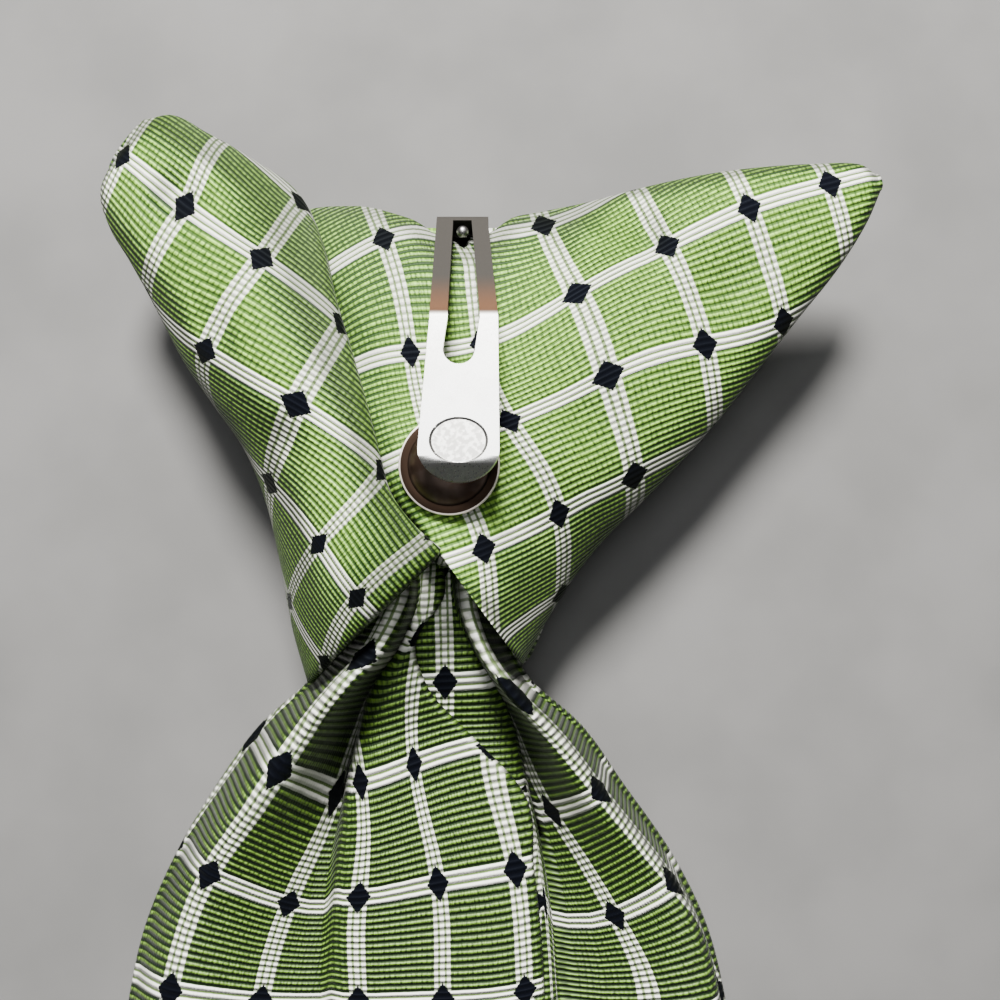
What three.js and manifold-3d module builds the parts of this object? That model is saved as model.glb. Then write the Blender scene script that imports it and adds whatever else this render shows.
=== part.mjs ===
// A clip-on necktie that lies face down, with its clip side up. Millimetres, +Z up.
// The origin is the middle of the flat cloth that the front of the knot rests on.
// +X runs to the right wing, and +Y from the blade's point to the top of the knot.

import * as THREE from 'three';
import { mergeVertices } from 'three/addons/utils/BufferGeometryUtils.js';
import Module from 'manifold-3d';

const wasm = await Module();
wasm.setup();

// Cloth
const CLOTH = 1.1; // wall of the silk with its interlining
const CLEARANCE = 0.3; // left between pieces that touch on the real tie

// Knot
const WING_SPAN = 94; // from tip to tip
const KNOT_LENGTH = 56; // from the lower corners of the mouth to the top edge
const KNOT_DEPTH = 27; // from the flat front to the highest cloth of the back

// Blade
const GATHER_LENGTH = 60; // pleated stretch, from inside the mouth to where the pleats run out
const PLAIN_LENGTH = 399; // flat stretch below it, down to the point
const BLADE_WIDTH = 100; // at its widest
const POINT_WIDTH = 4.4; // blunt end of the point
const MOUTH_EASE = 4; // left free on each side of the blade where it enters the front band
const FOLD_REACH = 2.5; // from a lying side fold of the blade to where its front layer is flat

// Clip
const STRIP = 0.8; // thickness of the spring steel
const COLLAR_GAP = 5.2; // room for a collar band between the cloth and the tongue
const HOOK_WIDTH = 5.9; // over the top edge of the knot
const TONGUE_WIDTH = 8.5; // at its widest, near its end
const TONGUE_LENGTH = 15.1; // flat stretch past the bend
const RAMP_LENGTH = 13.2; // from the hook to the bend, in plan
const LIP_REACH = 3; // end of the tongue, turned down
const LIP_DROP = 1.8;
const SLOT_WIDTH = 3.4; // at its round end
const SLOT_NECK = 2.1; // at the hook
const BASE_LENGTH = 16; // strip hidden inside the knot
const DIMPLE_WIDTH = 5.6; // oval pressed into the tongue
const DIMPLE_DEPTH = 0.2;
const CLIP_X = 3.7; // middle of the hook and of the tongue's end
const BEND_SWAY = 0.5; // how far the clip is drawn aside at its bend
const BEND_RADIUS = 1.3; // of the strip's bends
const SLOT_MARGIN = 0.1; // from the hook's inner face to the slot
const TIP_SHOULDER = 1.2; // where the tongue's end starts to round
const PINCH_DEPTH = 2.2; // how far the hook draws in the top edge of the knot
const PINCH_WIDTH = 9.2;

// Dish and rivet
const DISH_DIAMETER = 11;
const DISH_SHEET = 0.6; // pressed sheet that the dish is made of
const DISH_RISE = 1.9; // of the dome above its flange
const FLANGE_WIDTH = 0.8;
const RIVET_DIAMETER = 1.4;
const RIVET_INSET = 0.4; // from the top edge of the cloth to the middle of the rivet
const DISH_X = 2.5;

const LAYER = CLOTH + CLEARANCE; // from one lying layer of cloth to the next
const UP = new THREE.Vector3(0, 0, 1);
const DOWN = new THREE.Vector3(0, 0, -1);

// The wings are flattened pouches. Each row is a section from the outer fold to the inner fold.
// at: share of the way from the tip to the mouth. X columns are shares of WING_SPAN, Y columns of
// KNOT_LENGTH, and Z, rise and puff of KNOT_DEPTH. rise bows the section up, puff is half its thickness.
const WING_COLUMNS = [
  'at', 'outerX', 'outerY', 'outerZ', 'innerX', 'innerY', 'innerZ', 'rise', 'puff',
];
const RIGHT_WING = [
  [0.00, 0.570, 0.505, 0.655, 0.563, 0.542, 0.665, 0.00, 0.030],
  [0.05, 0.553, 0.440, 0.635, 0.540, 0.559, 0.690, 0.00, 0.062],
  [0.13, 0.517, 0.343, 0.610, 0.480, 0.557, 0.700, 0.00, 0.090],
  [0.23, 0.464, 0.232, 0.585, 0.405, 0.545, 0.715, 0.00, 0.110],
  [0.34, 0.411, 0.120, 0.565, 0.330, 0.523, 0.730, 0.01, 0.118],
  [0.45, 0.357, 0.007, 0.545, 0.255, 0.493, 0.735, 0.04, 0.110],
  [0.55, 0.306, -0.086, 0.530, 0.176, 0.457, 0.735, 0.08, 0.096],
  [0.64, 0.262, -0.161, 0.520, 0.085, 0.434, 0.720, 0.14, 0.082],
  [0.72, 0.223, -0.225, 0.510, -0.015, 0.432, 0.710, 0.20, 0.070],
  [0.79, 0.194, -0.282, 0.500, -0.100, 0.466, 0.690, 0.21, 0.065],
  [0.84, 0.173, -0.330, 0.490, -0.175, 0.440, 0.670, 0.21, 0.062],
  [0.89, 0.155, -0.378, 0.480, -0.150, 0.250, 0.710, 0.21, 0.060],
  [0.93, 0.140, -0.418, 0.475, -0.125, 0.100, 0.750, 0.21, 0.060],
  [0.97, 0.125, -0.463, 0.472, -0.080, -0.080, 0.790, 0.19, 0.060],
  [1.00, 0.113, -0.496, 0.470, 0.005, -0.250, 0.831, 0.16, 0.058],
];
const LEFT_WING = [
  [0.00, -0.417, 0.557, 0.640, -0.364, 0.664, 0.680, 0.00, 0.032],
  [0.04, -0.427, 0.511, 0.625, -0.332, 0.666, 0.700, 0.00, 0.070],
  [0.12, -0.417, 0.439, 0.600, -0.287, 0.625, 0.715, 0.00, 0.104],
  [0.22, -0.389, 0.361, 0.575, -0.230, 0.566, 0.730, 0.01, 0.126],
  [0.32, -0.362, 0.284, 0.555, -0.166, 0.480, 0.780, 0.03, 0.130],
  [0.42, -0.336, 0.207, 0.540, -0.130, 0.361, 0.845, 0.06, 0.122],
  [0.52, -0.309, 0.130, 0.530, -0.109, 0.232, 0.895, 0.09, 0.110],
  [0.62, -0.272, 0.043, 0.520, -0.085, 0.107, 0.930, 0.11, 0.098],
  [0.72, -0.232, -0.054, 0.505, -0.064, -0.011, 0.950, 0.12, 0.086],
  [0.80, -0.206, -0.161, 0.495, -0.052, -0.089, 0.950, 0.12, 0.076],
  [0.88, -0.189, -0.286, 0.480, -0.038, -0.164, 0.945, 0.12, 0.068],
  [0.95, -0.174, -0.429, 0.468, -0.010, -0.225, 0.940, 0.11, 0.062],
  [1.00, -0.156, -0.539, 0.460, 0.018, -0.266, 0.935, 0.09, 0.056],
];

// Dents and soft folds of the wings' upper faces. at and across place the middle, long and wide are
// how far it reaches, all as shares of the section's own ways, and depth is a share of KNOT_DEPTH.
const DENT_COLUMNS = ['at', 'across', 'long', 'wide', 'depth'];
const RIGHT_DENTS = [
  [0.47, 0.82, 0.035, 0.14, 0.040],
  [0.56, 0.86, 0.030, 0.12, -0.030],
  [0.36, 0.45, 0.090, 0.16, 0.025],
  [0.66, 0.30, 0.060, 0.12, 0.022],
];
const LEFT_DENTS = [
  [0.22, 0.55, 0.070, 0.18, 0.030],
  [0.50, 0.35, 0.080, 0.15, 0.025],
  [0.74, 0.45, 0.050, 0.20, 0.020],
];

// The front band is a shallow tray. along is a share of KNOT_LENGTH, left and right are shares of
// WING_SPAN, and wall and lift, the height of the sides and of the whole row, shares of KNOT_DEPTH.
const FRONT_COLUMNS = ['along', 'left', 'right', 'wall', 'lift'];
const FRONT_BAND = [
  [-0.520, -0.152, 0.110, 0.10, 0.00],
  [-0.490, -0.162, 0.124, 0.26, 0.00],
  [-0.440, -0.172, 0.136, 0.42, 0.00],
  [-0.260, -0.195, 0.178, 0.50, 0.00],
  [0.030, -0.262, 0.270, 0.50, 0.00],
  [0.150, -0.310, 0.325, 0.50, 0.00],
  [0.250, -0.348, 0.372, 0.50, 0.00],
  [0.330, -0.362, 0.395, 0.50, 0.00],
  [0.390, -0.350, 0.385, 0.46, 0.03],
  [0.424, -0.328, 0.364, 0.34, 0.13],
  [0.437, -0.304, 0.342, 0.20, 0.31],
  [0.443, -0.280, 0.320, 0.08, 0.50],
];
const LONG_GAP = 0.09; // rows further apart than this get one more between them
// The turned-up side of the band: in is a share of the turn, up of the side's height.
const TURN_COLUMNS = ['in', 'up'];
const TURN = [[1.6, 0], [0.62, 0.14], [0.12, 0.5], [0, 1]];
const TURN_LARGEST = 5;
const TURN_SMALLEST = 0.6;
const TURN_SLOPE = 0.45; // how much the turn grows with the side's height

// Blade sections. gather and plain are shares of the two stretches' lengths. mouth and wide make up
// half the width, as shares of the mouth's and of the blade's half width. The named places across are
// shares of that half width, and the heights shares of KNOT_DEPTH above the lying layers. lift is how
// many layers the front lies above the floor, and axis the middle line, a share of WING_SPAN.
const BLADE_COLUMNS = [
  'gather', 'plain', 'mouth', 'wide', 'edgeHeight', 'leftCrest', 'leftValley', 'panelLeft', 'lap',
  'panelRight', 'rightValley', 'rightCrest', 'crestHeight', 'valleyHeight', 'panelHeight', 'lift', 'axis',
];
const BLADE = [
  [0.00, 0.00, 1.00, 0.00, 0.19, -0.20, -0.08, 0.02, 0.22, 0.34, 0.44, 0.56, 0.48, 0.33, 0.35, 1.0, -0.017],
  [0.08, 0.00, 1.00, 0.00, 0.21, -0.16, -0.04, 0.06, 0.24, 0.38, 0.46, 0.54, 0.55, 0.36, 0.38, 1.0, -0.017],
  [0.17, 0.00, 1.02, 0.0, 0.24, -0.34, -0.20, -0.11, -0.06, 0.52, 0.60, 0.70, 0.57, 0.30, 0.35, 1.0, -0.019],
  [0.25, 0.00, 1.18, 0.01, 0.26, -0.62, -0.42, -0.33, 0.03, 0.62, 0.70, 0.83, 0.57, 0.22, 0.31, 1.0, -0.019],
  [0.35, 0.00, 1.10, 0.16, 0.20, -0.66, -0.39, -0.32, 0.27, 0.54, 0.60, 0.82, 0.52, 0.15, 0.26, 0.0, -0.020],
  [0.47, 0.00, 0.80, 0.33, 0.12, -0.73, -0.37, -0.31, 0.49, 0.50, 0.54, 0.86, 0.43, 0.10, 0.22, 0.0, -0.022],
  [0.63, 0.00, 0.45, 0.53, 0.04, -0.80, -0.37, -0.29, 0.43, 0.44, 0.49, 0.92, 0.29, 0.08, 0.18, 0.0, -0.018],
  [0.78, 0.00, 0.22, 0.66, 0.01, -0.82, -0.36, -0.27, 0.40, 0.41, 0.46, 0.94, 0.21, 0.07, 0.15, 0.0, -0.015],
  [1.00, 0.00, 0.00, 0.76, 0.0, -0.85, -0.34, -0.26, 0.38, 0.39, 0.45, 0.94, 0.14, 0.05, 0.12, 0.0, -0.012],
  [1.00, 0.05, 0.00, 0.85, 0.0, -0.87, -0.33, -0.27, 0.32, 0.40, 0.45, 0.92, 0.06, 0.02, 0.055, 0.0, -0.011],
  [1.00, 0.16, 0.00, 0.91, 0.0, -0.88, -0.34, -0.28, 0.14, 0.40, 0.46, 0.90, 0.02, 0.00, 0.012, 0.0, -0.010],
  [1.00, 0.50, 0.00, 0.95, 0.0, -0.88, -0.36, -0.30, 0.08, 0.38, 0.44, 0.88, 0.01, 0.00, 0.005, 0.0, -0.010],
  [1.00, 0.885, 0.00, 1.00, 0.0, -0.88, -0.36, -0.30, 0.08, 0.38, 0.44, 0.88, 0.005, 0.00, 0.0, 0.0, -0.010],
];
const GATHER_ROWS = 16;
const PLAIN_ROWS = [0.03, 0.06, 0.10, 0.16, 0.25, 0.37, 0.5, 0.63, 0.76, 0.885];
const POINT_ROWS = [0.25, 0.5, 0.75, 0.9, 1]; // shares of the way from the widest row to the point
// steps of cloth across the blade, one number for each stretch between two named places
const BLADE_STEPS = [2, 3, 2, 3, 3, 2, 2, 2, 3, 3, 2, 2, 2, 3, 3, 2, 2, 2];
const BLADE_START = -0.27; // top row of the blade, inside the knot, as a share of KNOT_LENGTH
const POINT_START = 0.885; // of PLAIN_LENGTH, where the sides turn in
const FOLD_FLARE = 1.1; // how much a side fold's reach grows with its height
const UNDER_TUCK = 0.06; // how far the under flap stops short of the panel's left side

const RIGHT_RINGS = 26;
const LEFT_RINGS = 18;
const WING_SIDES = 20;
const CAVITY_START = 0.1; // the pouch is folded shut between here and its tip
const DISH_ALONG = -0.104; // middle of the dish, as a share of KNOT_LENGTH

const materials = {
  cloth: new THREE.MeshStandardMaterial({ color: 0x8fae72, roughness: 0.62, metalness: 0 }),
  steel: new THREE.MeshStandardMaterial({ color: 0xd9d8d4, roughness: 0.22, metalness: 1 }),
  dish: new THREE.MeshStandardMaterial({ color: 0x8d8179, roughness: 0.12, metalness: 1 }),
  rivet: new THREE.MeshStandardMaterial({ color: 0x9a9a98, roughness: 0.35, metalness: 1 }),
};

// A smooth run through the rows of a table, read at any share of its first column.
function readTable(columns, rows) {
  const places = rows.map((row) => row[0]);
  const run = new THREE.CubicInterpolant(places, rows.flat(), columns.length);
  return (place) => {
    const values = run.evaluate(place);
    return Object.fromEntries(columns.map((name, i) => [name, values[i]]));
  };
}

function namedRows(columns, rows) {
  return rows.map((row) => Object.fromEntries(columns.map((name, i) => [name, row[i]])));
}

// A closed body from rings of equal count: a skin between neighbours, and a cap over each end.
function skinRings(rings, capRing) {
  const count = rings[0].length;
  const points = rings.flat();
  const faces = [];
  for (let j = 0; j + 1 < rings.length; j++) {
    for (let i = 0; i < count; i++) {
      const next = (i + 1) % count;
      const a = j * count + i;
      const b = j * count + next;
      faces.push(a, b, b + count, a, b + count, a + count);
    }
  }
  capRing(points, faces, 0, count, true);
  capRing(points, faces, (rings.length - 1) * count, count, false);
  const geometry = new THREE.BufferGeometry();
  geometry.setAttribute('position', new THREE.Float32BufferAttribute(points.flatMap((p) => p.toArray()), 3));
  geometry.setIndex(faces);
  faceOutward(geometry);
  geometry.computeVertexNormals();
  return geometry;
}

function pushFace(faces, a, b, c, flip) {
  if (flip) {
    faces.push(a, c, b);
  } else {
    faces.push(a, b, c);
  }
}

// Cap for a rounded ring: a fan from its middle.
function fanCap(points, faces, start, count, flip) {
  const middle = new THREE.Vector3();
  for (let i = 0; i < count; i++) {
    middle.add(points[start + i]);
  }
  points.push(middle.divideScalar(count));
  const hub = points.length - 1;
  for (let i = 0; i < count; i++) {
    pushFace(faces, start + i, start + ((i + 1) % count), hub, flip);
  }
}

// Cap for the edge of a sheet, whose ring runs out on one face and back on the other.
function stripCap(points, faces, start, count, flip) {
  for (let i = 0; i + 1 < count / 2; i++) {
    const a = start + i;
    const b = start + count - 1 - i;
    pushFace(faces, a, a + 1, b - 1, flip);
    pushFace(faces, a, b - 1, b, flip);
  }
}

function faceOutward(geometry) {
  const position = geometry.getAttribute('position');
  const index = geometry.getIndex();
  const [a, b, c] = [new THREE.Vector3(), new THREE.Vector3(), new THREE.Vector3()];
  let volume = 0;
  for (let i = 0; i < index.count; i += 3) {
    a.fromBufferAttribute(position, index.getX(i));
    b.fromBufferAttribute(position, index.getX(i + 1));
    c.fromBufferAttribute(position, index.getX(i + 2));
    volume += a.dot(b.cross(c));
  }
  if (volume < 0) {
    index.array.reverse();
  }
}

// A sheet of cloth of even thickness about its middle, given as rows of points.
function clothSheet(rows, wall) {
  const last = rows.length - 1;
  const normalAt = (j, i) => {
    const row = rows[j];
    const across = row[Math.min(i + 1, row.length - 1)].clone().sub(row[Math.max(i - 1, 0)]);
    const along = rows[Math.min(j + 1, last)][i].clone().sub(rows[Math.max(j - 1, 0)][i]);
    return across.cross(along).normalize();
  };
  const rings = rows.map((row, j) => {
    const offset = (side) => row.map((p, i) => p.clone().addScaledVector(normalAt(j, i), side * wall / 2));
    return [...offset(1), ...offset(-1).reverse()];
  });
  return skinRings(rings, stripCap);
}

function dentDepth(dents, at, across) {
  let depth = 0;
  for (const dent of dents) {
    const along = (at - dent.at) / dent.long;
    const aside = (across - dent.across) / dent.wide;
    depth += dent.depth * KNOT_DEPTH * Math.exp(-along * along - aside * aside);
  }
  return depth;
}

// How far the hook draws in the inner fold of the cloth at a place across the clip.
function pinchAt(x) {
  const aside = (2 * (x - CLIP_X)) / PINCH_WIDTH;
  return PINCH_DEPTH * Math.exp(-(aside ** 4));
}

// One ring of a wing. inset is 0 on the outside of the cloth and one wall on the inside, and pinched
// is 1 where the hook draws in the inner fold.
function wingRing(section, dents, inset, pinched) {
  const outer = new THREE.Vector3(
    section.outerX * WING_SPAN, section.outerY * KNOT_LENGTH, section.outerZ * KNOT_DEPTH);
  const inner = new THREE.Vector3(
    section.innerX * WING_SPAN, section.innerY * KNOT_LENGTH, section.innerZ * KNOT_DEPTH);
  const chord = inner.clone().sub(outer);
  const rise = section.rise * KNOT_DEPTH;
  const margin = 1.5 * inset / chord.length();
  const half = section.puff * KNOT_DEPTH - inset;
  const ring = [];
  for (let i = 0; i < WING_SIDES; i++) {
    const angle = (i / WING_SIDES) * 2 * Math.PI;
    const share = margin + (1 - 2 * margin) * (0.5 - 0.5 * Math.cos(angle));
    const slope = rise * Math.PI * Math.cos(Math.PI * share);
    const tangent = chord.clone().addScaledVector(UP, slope).normalize();
    const normal = UP.clone().addScaledVector(tangent, -tangent.z).normalize();
    const swell = Math.sign(Math.sin(angle)) * Math.abs(Math.sin(angle)) ** 0.8;
    const dent = swell > 0 ? swell * dentDepth(dents, section.at, share) : 0;
    const point = outer.clone().addScaledVector(chord, share);
    point.addScaledVector(UP, rise * Math.sin(Math.PI * share));
    point.addScaledVector(normal, swell * half - dent);
    point.y -= pinched * pinchAt(point.x) * THREE.MathUtils.smoothstep(share, 0.8, 1);
    ring.push(point);
  }
  return ring;
}

// A wing: a pouch of cloth, shut at its tip and open at the mouth.
function wing(table, dentTable, ringCount, pinched) {
  const read = readTable(WING_COLUMNS, table);
  const dents = namedRows(DENT_COLUMNS, dentTable);
  const outside = [];
  const inside = [];
  for (let j = 0; j <= ringCount; j++) {
    const at = (j / ringCount) ** 1.15;
    outside.push(wingRing(read(at), dents, 0, pinched));
    if (at > CAVITY_START) {
      inside.unshift(wingRing(read(at), dents, CLOTH, pinched));
    }
  }
  return skinRings([...outside, ...inside], fanCap);
}

function makeMesh(name, geometry, material) {
  const mesh = new THREE.Mesh(geometry, material);
  mesh.name = name;
  return mesh;
}

// Heights of a mesh over a place: its highest face seen from above, its lowest seen from below.
function faceHeight(mesh, x, y, direction) {
  const start = new THREE.Vector3(x, y, -direction.z * 10 * KNOT_DEPTH);
  const hits = new THREE.Raycaster(start, direction).intersectObject(mesh);
  return hits.length > 0 ? hits[0].point.z : null;
}

function highestOver(mesh, places) {
  return Math.max(...places.map(([x, y]) => faceHeight(mesh, x, y, DOWN)).filter((z) => z !== null));
}

function lowestOver(mesh, places) {
  return Math.min(...places.map(([x, y]) => faceHeight(mesh, x, y, UP)).filter((z) => z !== null));
}

// Places on a grid over a rectangle of the plan.
function gridOver(left, right, low, high, steps) {
  const places = [];
  for (let i = 0; i <= steps; i++) {
    for (let j = 0; j <= steps; j++) {
      places.push([left + ((right - left) * i) / steps, low + ((high - low) * j) / steps]);
    }
  }
  return places;
}

// The front band of the knot: flat below, its sides and top edge turned up round the knot.
function frontBand(wings) {
  const read = readTable(FRONT_COLUMNS, FRONT_BAND);
  const places = FRONT_BAND.map((row) => row[0]);
  const stations = places.flatMap((place, i) => (
    places[i + 1] - place > LONG_GAP ? [place, (place + places[i + 1]) / 2] : [place]
  ));
  const floor = CLOTH / 2;
  const rows = stations.map((along) => {
    const section = read(along);
    const y = along * KNOT_LENGTH;
    const lift = Math.max(0, section.lift) * KNOT_DEPTH;
    const left = section.left * WING_SPAN;
    const right = section.right * WING_SPAN;
    const side = (edge, inward) => {
      const under = gridOver(edge - CLOTH, edge + CLOTH, y - CLOTH, y + CLOTH, 4);
      const roof = Math.min(...wings.map((mesh) => lowestOver(mesh, under)));
      const height = Math.min(section.wall * KNOT_DEPTH, roof - CLEARANCE - floor - lift);
      const turn = Math.min(TURN_SLOPE * height + TURN_SMALLEST, TURN_LARGEST);
      return namedRows(TURN_COLUMNS, TURN).map((step) => (
        new THREE.Vector3(edge + inward * turn * step.in, y, floor + lift + step.up * height)
      ));
    };
    const leftSide = side(left + CLOTH / 2, 1);
    const rightSide = side(right - CLOTH / 2, -1);
    const middles = [0.2, 0.4, 0.6, 0.8].map((share) => leftSide[0].clone().lerp(rightSide[0], share));
    return [...leftSide.reverse(), ...middles, ...rightSide];
  });
  return clothSheet(rows, CLOTH);
}

// Half the width of the blade where it starts inside the front band.
function mouthHalfWidth() {
  const band = readTable(FRONT_COLUMNS, FRONT_BAND)(BLADE_START);
  return ((band.right - band.left) / 2) * WING_SPAN - 2 * CLOTH - 2 * CLEARANCE - MOUTH_EASE;
}

// One section of the blade: over flap, left ridge, left fold, front layer, right fold and ridge, under flap.
function bladeRow(section, y, half) {
  const axis = section.axis * WING_SPAN;
  const front = CLOTH / 2 + section.lift * LAYER;
  const side = front + LAYER;
  const heightOf = (share) => side + share * KNOT_DEPTH;
  const place = (share, z) => new THREE.Vector3(axis + share * half, y, z);
  const panel = Math.max(heightOf(section.panelHeight), side + LAYER);
  const fold = LAYER / 2;
  const edge = Math.max(heightOf(section.edgeHeight) - fold, front + fold);
  const curl = FOLD_REACH + FOLD_FLARE * (edge - fold - front);
  const foldPoints = (sign) => [
    new THREE.Vector3(axis + sign * (half - fold), y, edge + fold),
    new THREE.Vector3(axis + sign * half, y, edge),
    new THREE.Vector3(axis + sign * (half - fold), y, edge - fold),
    new THREE.Vector3(axis + sign * Math.max(half - fold - curl, 0.5 * half), y, front),
  ];
  const points = [
    place(section.lap, panel),
    place((section.lap + section.panelLeft) / 2, panel),
    place(section.panelLeft, panel),
    place(section.leftValley, heightOf(section.valleyHeight)),
    place(section.leftCrest, heightOf(section.crestHeight)),
    ...foldPoints(-1),
    place(0, front),
    ...foldPoints(1).reverse(),
    place(section.rightCrest, heightOf(section.crestHeight)),
    place(section.rightValley, heightOf(section.valleyHeight)),
    place(section.panelRight, panel - LAYER),
    place((section.panelRight + section.panelLeft) / 2, panel - LAYER),
    place(section.panelLeft + UNDER_TUCK, panel - LAYER),
  ];
  const run = new THREE.CatmullRomCurve3(points, false, 'centripetal');
  const row = [];
  BLADE_STEPS.forEach((steps, span) => {
    for (let k = 0; k < steps; k++) {
      const point = run.getPoint((span + k / steps) / (points.length - 1));
      point.z = Math.max(point.z, front);
      row.push(point);
    }
  });
  row.push(points[points.length - 1]);
  return row;
}

function blade() {
  const sections = namedRows(BLADE_COLUMNS, BLADE);
  const mouthHalf = mouthHalfWidth();
  const halfOf = (section) => section.mouth * mouthHalf + (section.wide * BLADE_WIDTH) / 2;
  const gathered = sections.filter((section) => section.plain === 0);
  const flat = sections.filter((section) => section.gather === 1);
  const valuesOf = (list) => list.map((section) => BLADE_COLUMNS.map((name) => section[name]));
  const readGather = readTable(BLADE_COLUMNS, valuesOf(gathered));
  const flatColumns = ['plain', ...BLADE_COLUMNS.filter((name) => name !== 'plain')];
  const readFlat = readTable(flatColumns, flat.map((section) => flatColumns.map((name) => section[name])));
  const start = BLADE_START * KNOT_LENGTH;
  const rows = [];
  for (let j = 0; j <= GATHER_ROWS; j++) {
    const section = readGather(j / GATHER_ROWS);
    section.lift = THREE.MathUtils.clamp(section.lift, 0, 1);
    rows.push(bladeRow(section, start - section.gather * GATHER_LENGTH, halfOf(section)));
  }
  for (const share of PLAIN_ROWS) {
    const section = readFlat(share);
    rows.push(bladeRow(section, start - GATHER_LENGTH - share * PLAIN_LENGTH, halfOf(section)));
  }
  const widest = readFlat(POINT_START);
  for (const share of POINT_ROWS) {
    const along = THREE.MathUtils.lerp(POINT_START, 1, share);
    const half = THREE.MathUtils.lerp(halfOf(widest), POINT_WIDTH / 2, share);
    rows.push(bladeRow(widest, start - GATHER_LENGTH - along * PLAIN_LENGTH, half));
  }
  return clothSheet(rows, CLOTH);
}

function toManifold(geometry) {
  const bare = geometry.clone();
  bare.deleteAttribute('normal');
  bare.deleteAttribute('uv');
  const merged = mergeVertices(bare, 1e-4);
  return new wasm.Manifold(new wasm.Mesh({
    numProp: 3,
    vertProperties: new Float32Array(merged.getAttribute('position').array),
    triVerts: new Uint32Array(merged.getIndex().array),
  }));
}

function fromManifold(solid) {
  const { vertProperties, triVerts } = solid.getMesh();
  const geometry = new THREE.BufferGeometry();
  geometry.setAttribute('position', new THREE.BufferAttribute(new Float32Array(vertProperties), 3));
  geometry.setIndex(new THREE.BufferAttribute(new Uint32Array(triVerts), 1));
  geometry.computeVertexNormals();
  return geometry;
}

// A run of straight stretches with rounded corners, as points of the YZ side view.
function roundedRun(corners, radius) {
  const run = [corners[0].clone()];
  for (let i = 1; i + 1 < corners.length; i++) {
    const before = corners[i - 1].clone().sub(corners[i]);
    const after = corners[i + 1].clone().sub(corners[i]);
    const turn = Math.PI - before.angleTo(after);
    const cut = Math.min(radius * Math.tan(turn / 2), 0.45 * before.length(), 0.45 * after.length());
    const from = corners[i].clone().addScaledVector(before.normalize(), cut);
    const to = corners[i].clone().addScaledVector(after.normalize(), cut);
    run.push(...new THREE.QuadraticBezierCurve(from, corners[i], to).getPoints(5));
  }
  run.push(corners[corners.length - 1].clone());
  return run;
}

// A strip of sheet metal along a run of the side view, as wide as asked, centred on X = 0.
function bentStrip(run, width) {
  const sideOf = (sign) => run.map((p, i) => {
    const ahead = run[Math.min(i + 1, run.length - 1)].clone().sub(run[Math.max(i - 1, 0)]).normalize();
    return new THREE.Vector2(p.x - sign * ahead.y * STRIP / 2, p.y + sign * ahead.x * STRIP / 2);
  });
  const shape = new THREE.Shape([...sideOf(1), ...sideOf(-1).reverse()]);
  const geometry = new THREE.ExtrudeGeometry(shape, { depth: width, bevelEnabled: false });
  geometry.translate(0, 0, -width / 2);
  // the shape's X becomes Y, its Y becomes Z, and its depth becomes X
  geometry.applyMatrix4(new THREE.Matrix4().makeBasis(
    new THREE.Vector3(0, 1, 0), new THREE.Vector3(0, 0, 1), new THREE.Vector3(1, 0, 0)));
  return toManifold(geometry);
}

function plate(shape, low, high) {
  const settings = { depth: high - low, bevelEnabled: false, curveSegments: 10 };
  const geometry = new THREE.ExtrudeGeometry(shape, settings);
  geometry.translate(0, 0, low);
  return toManifold(geometry);
}

// The clip: a base strip inside the knot, a hook over its top edge, a slotted ramp and the tongue.
function clipSpring(cloth) {
  const half = HOOK_WIDTH / 2;
  const edge = topEdgeOf(cloth, CLIP_X - half - CLEARANCE, CLIP_X + half + CLEARANCE);
  const hookY = edge + CLEARANCE + STRIP / 2;
  const seat = gridOver(CLIP_X - half, CLIP_X + half, hookY - 3 * STRIP, hookY - 2 * STRIP, 4);
  const bendY = hookY - RAMP_LENGTH;
  const tipY = bendY - TONGUE_LENGTH;
  const under = gridOver(CLIP_X - TONGUE_WIDTH / 2, CLIP_X + TONGUE_WIDTH / 2, tipY, bendY, 6);
  const tongueZ = highestOver(cloth, under) + COLLAR_GAP + STRIP / 2;
  const hookZ = highestOver(cloth, seat) + CLEARANCE + STRIP / 2;
  const inside = gridOver(CLIP_X - half, CLIP_X + half, edge - BASE_LENGTH, edge - CLEARANCE, 8);
  const baseZ = lowestOver(cloth, inside) - CLEARANCE - STRIP / 2;
  const corners = [
    new THREE.Vector2(hookY - BASE_LENGTH, baseZ),
    new THREE.Vector2(hookY, baseZ),
    new THREE.Vector2(hookY, hookZ),
    new THREE.Vector2(bendY, tongueZ),
    new THREE.Vector2(tipY, tongueZ),
    new THREE.Vector2(tipY - 2 * LIP_REACH, tongueZ - 2 * LIP_DROP), // twice as far as the outline leaves
  ];
  const strip = bentStrip(roundedRun(corners, BEND_RADIUS), 2 * TONGUE_WIDTH);
  const base = plate(baseOutline(hookY), baseZ - STRIP, baseZ + 2 * STRIP);
  const outline = plate(tongueOutline(hookY, bendY - STRIP, tipY), baseZ + STRIP, tongueZ + STRIP);
  const slot = plate(slotOutline(hookY, bendY - STRIP), baseZ + 2 * STRIP, tongueZ + STRIP);
  const pressed = tongueZ + STRIP / 2 - DIMPLE_DEPTH;
  const dimple = plate(ovalOutline(tipY + 0.14 * TONGUE_LENGTH), pressed, tongueZ + STRIP);
  const solid = strip.intersect(outline.add(base)).subtract(slot).subtract(dimple);
  const mesh = makeMesh('clip_spring', fromManifold(solid), materials.steel);
  mesh.position.x = CLIP_X;
  return mesh;
}

// Furthest Y that the cloth reaches between two X.
function topEdgeOf(mesh, left, right) {
  const slab = wasm.Manifold.cube([right - left, 20 * KNOT_LENGTH, 20 * KNOT_DEPTH], true)
    .translate((left + right) / 2, 0, 0);
  return toManifold(mesh.geometry).intersect(slab).boundingBox().max[1];
}

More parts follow.
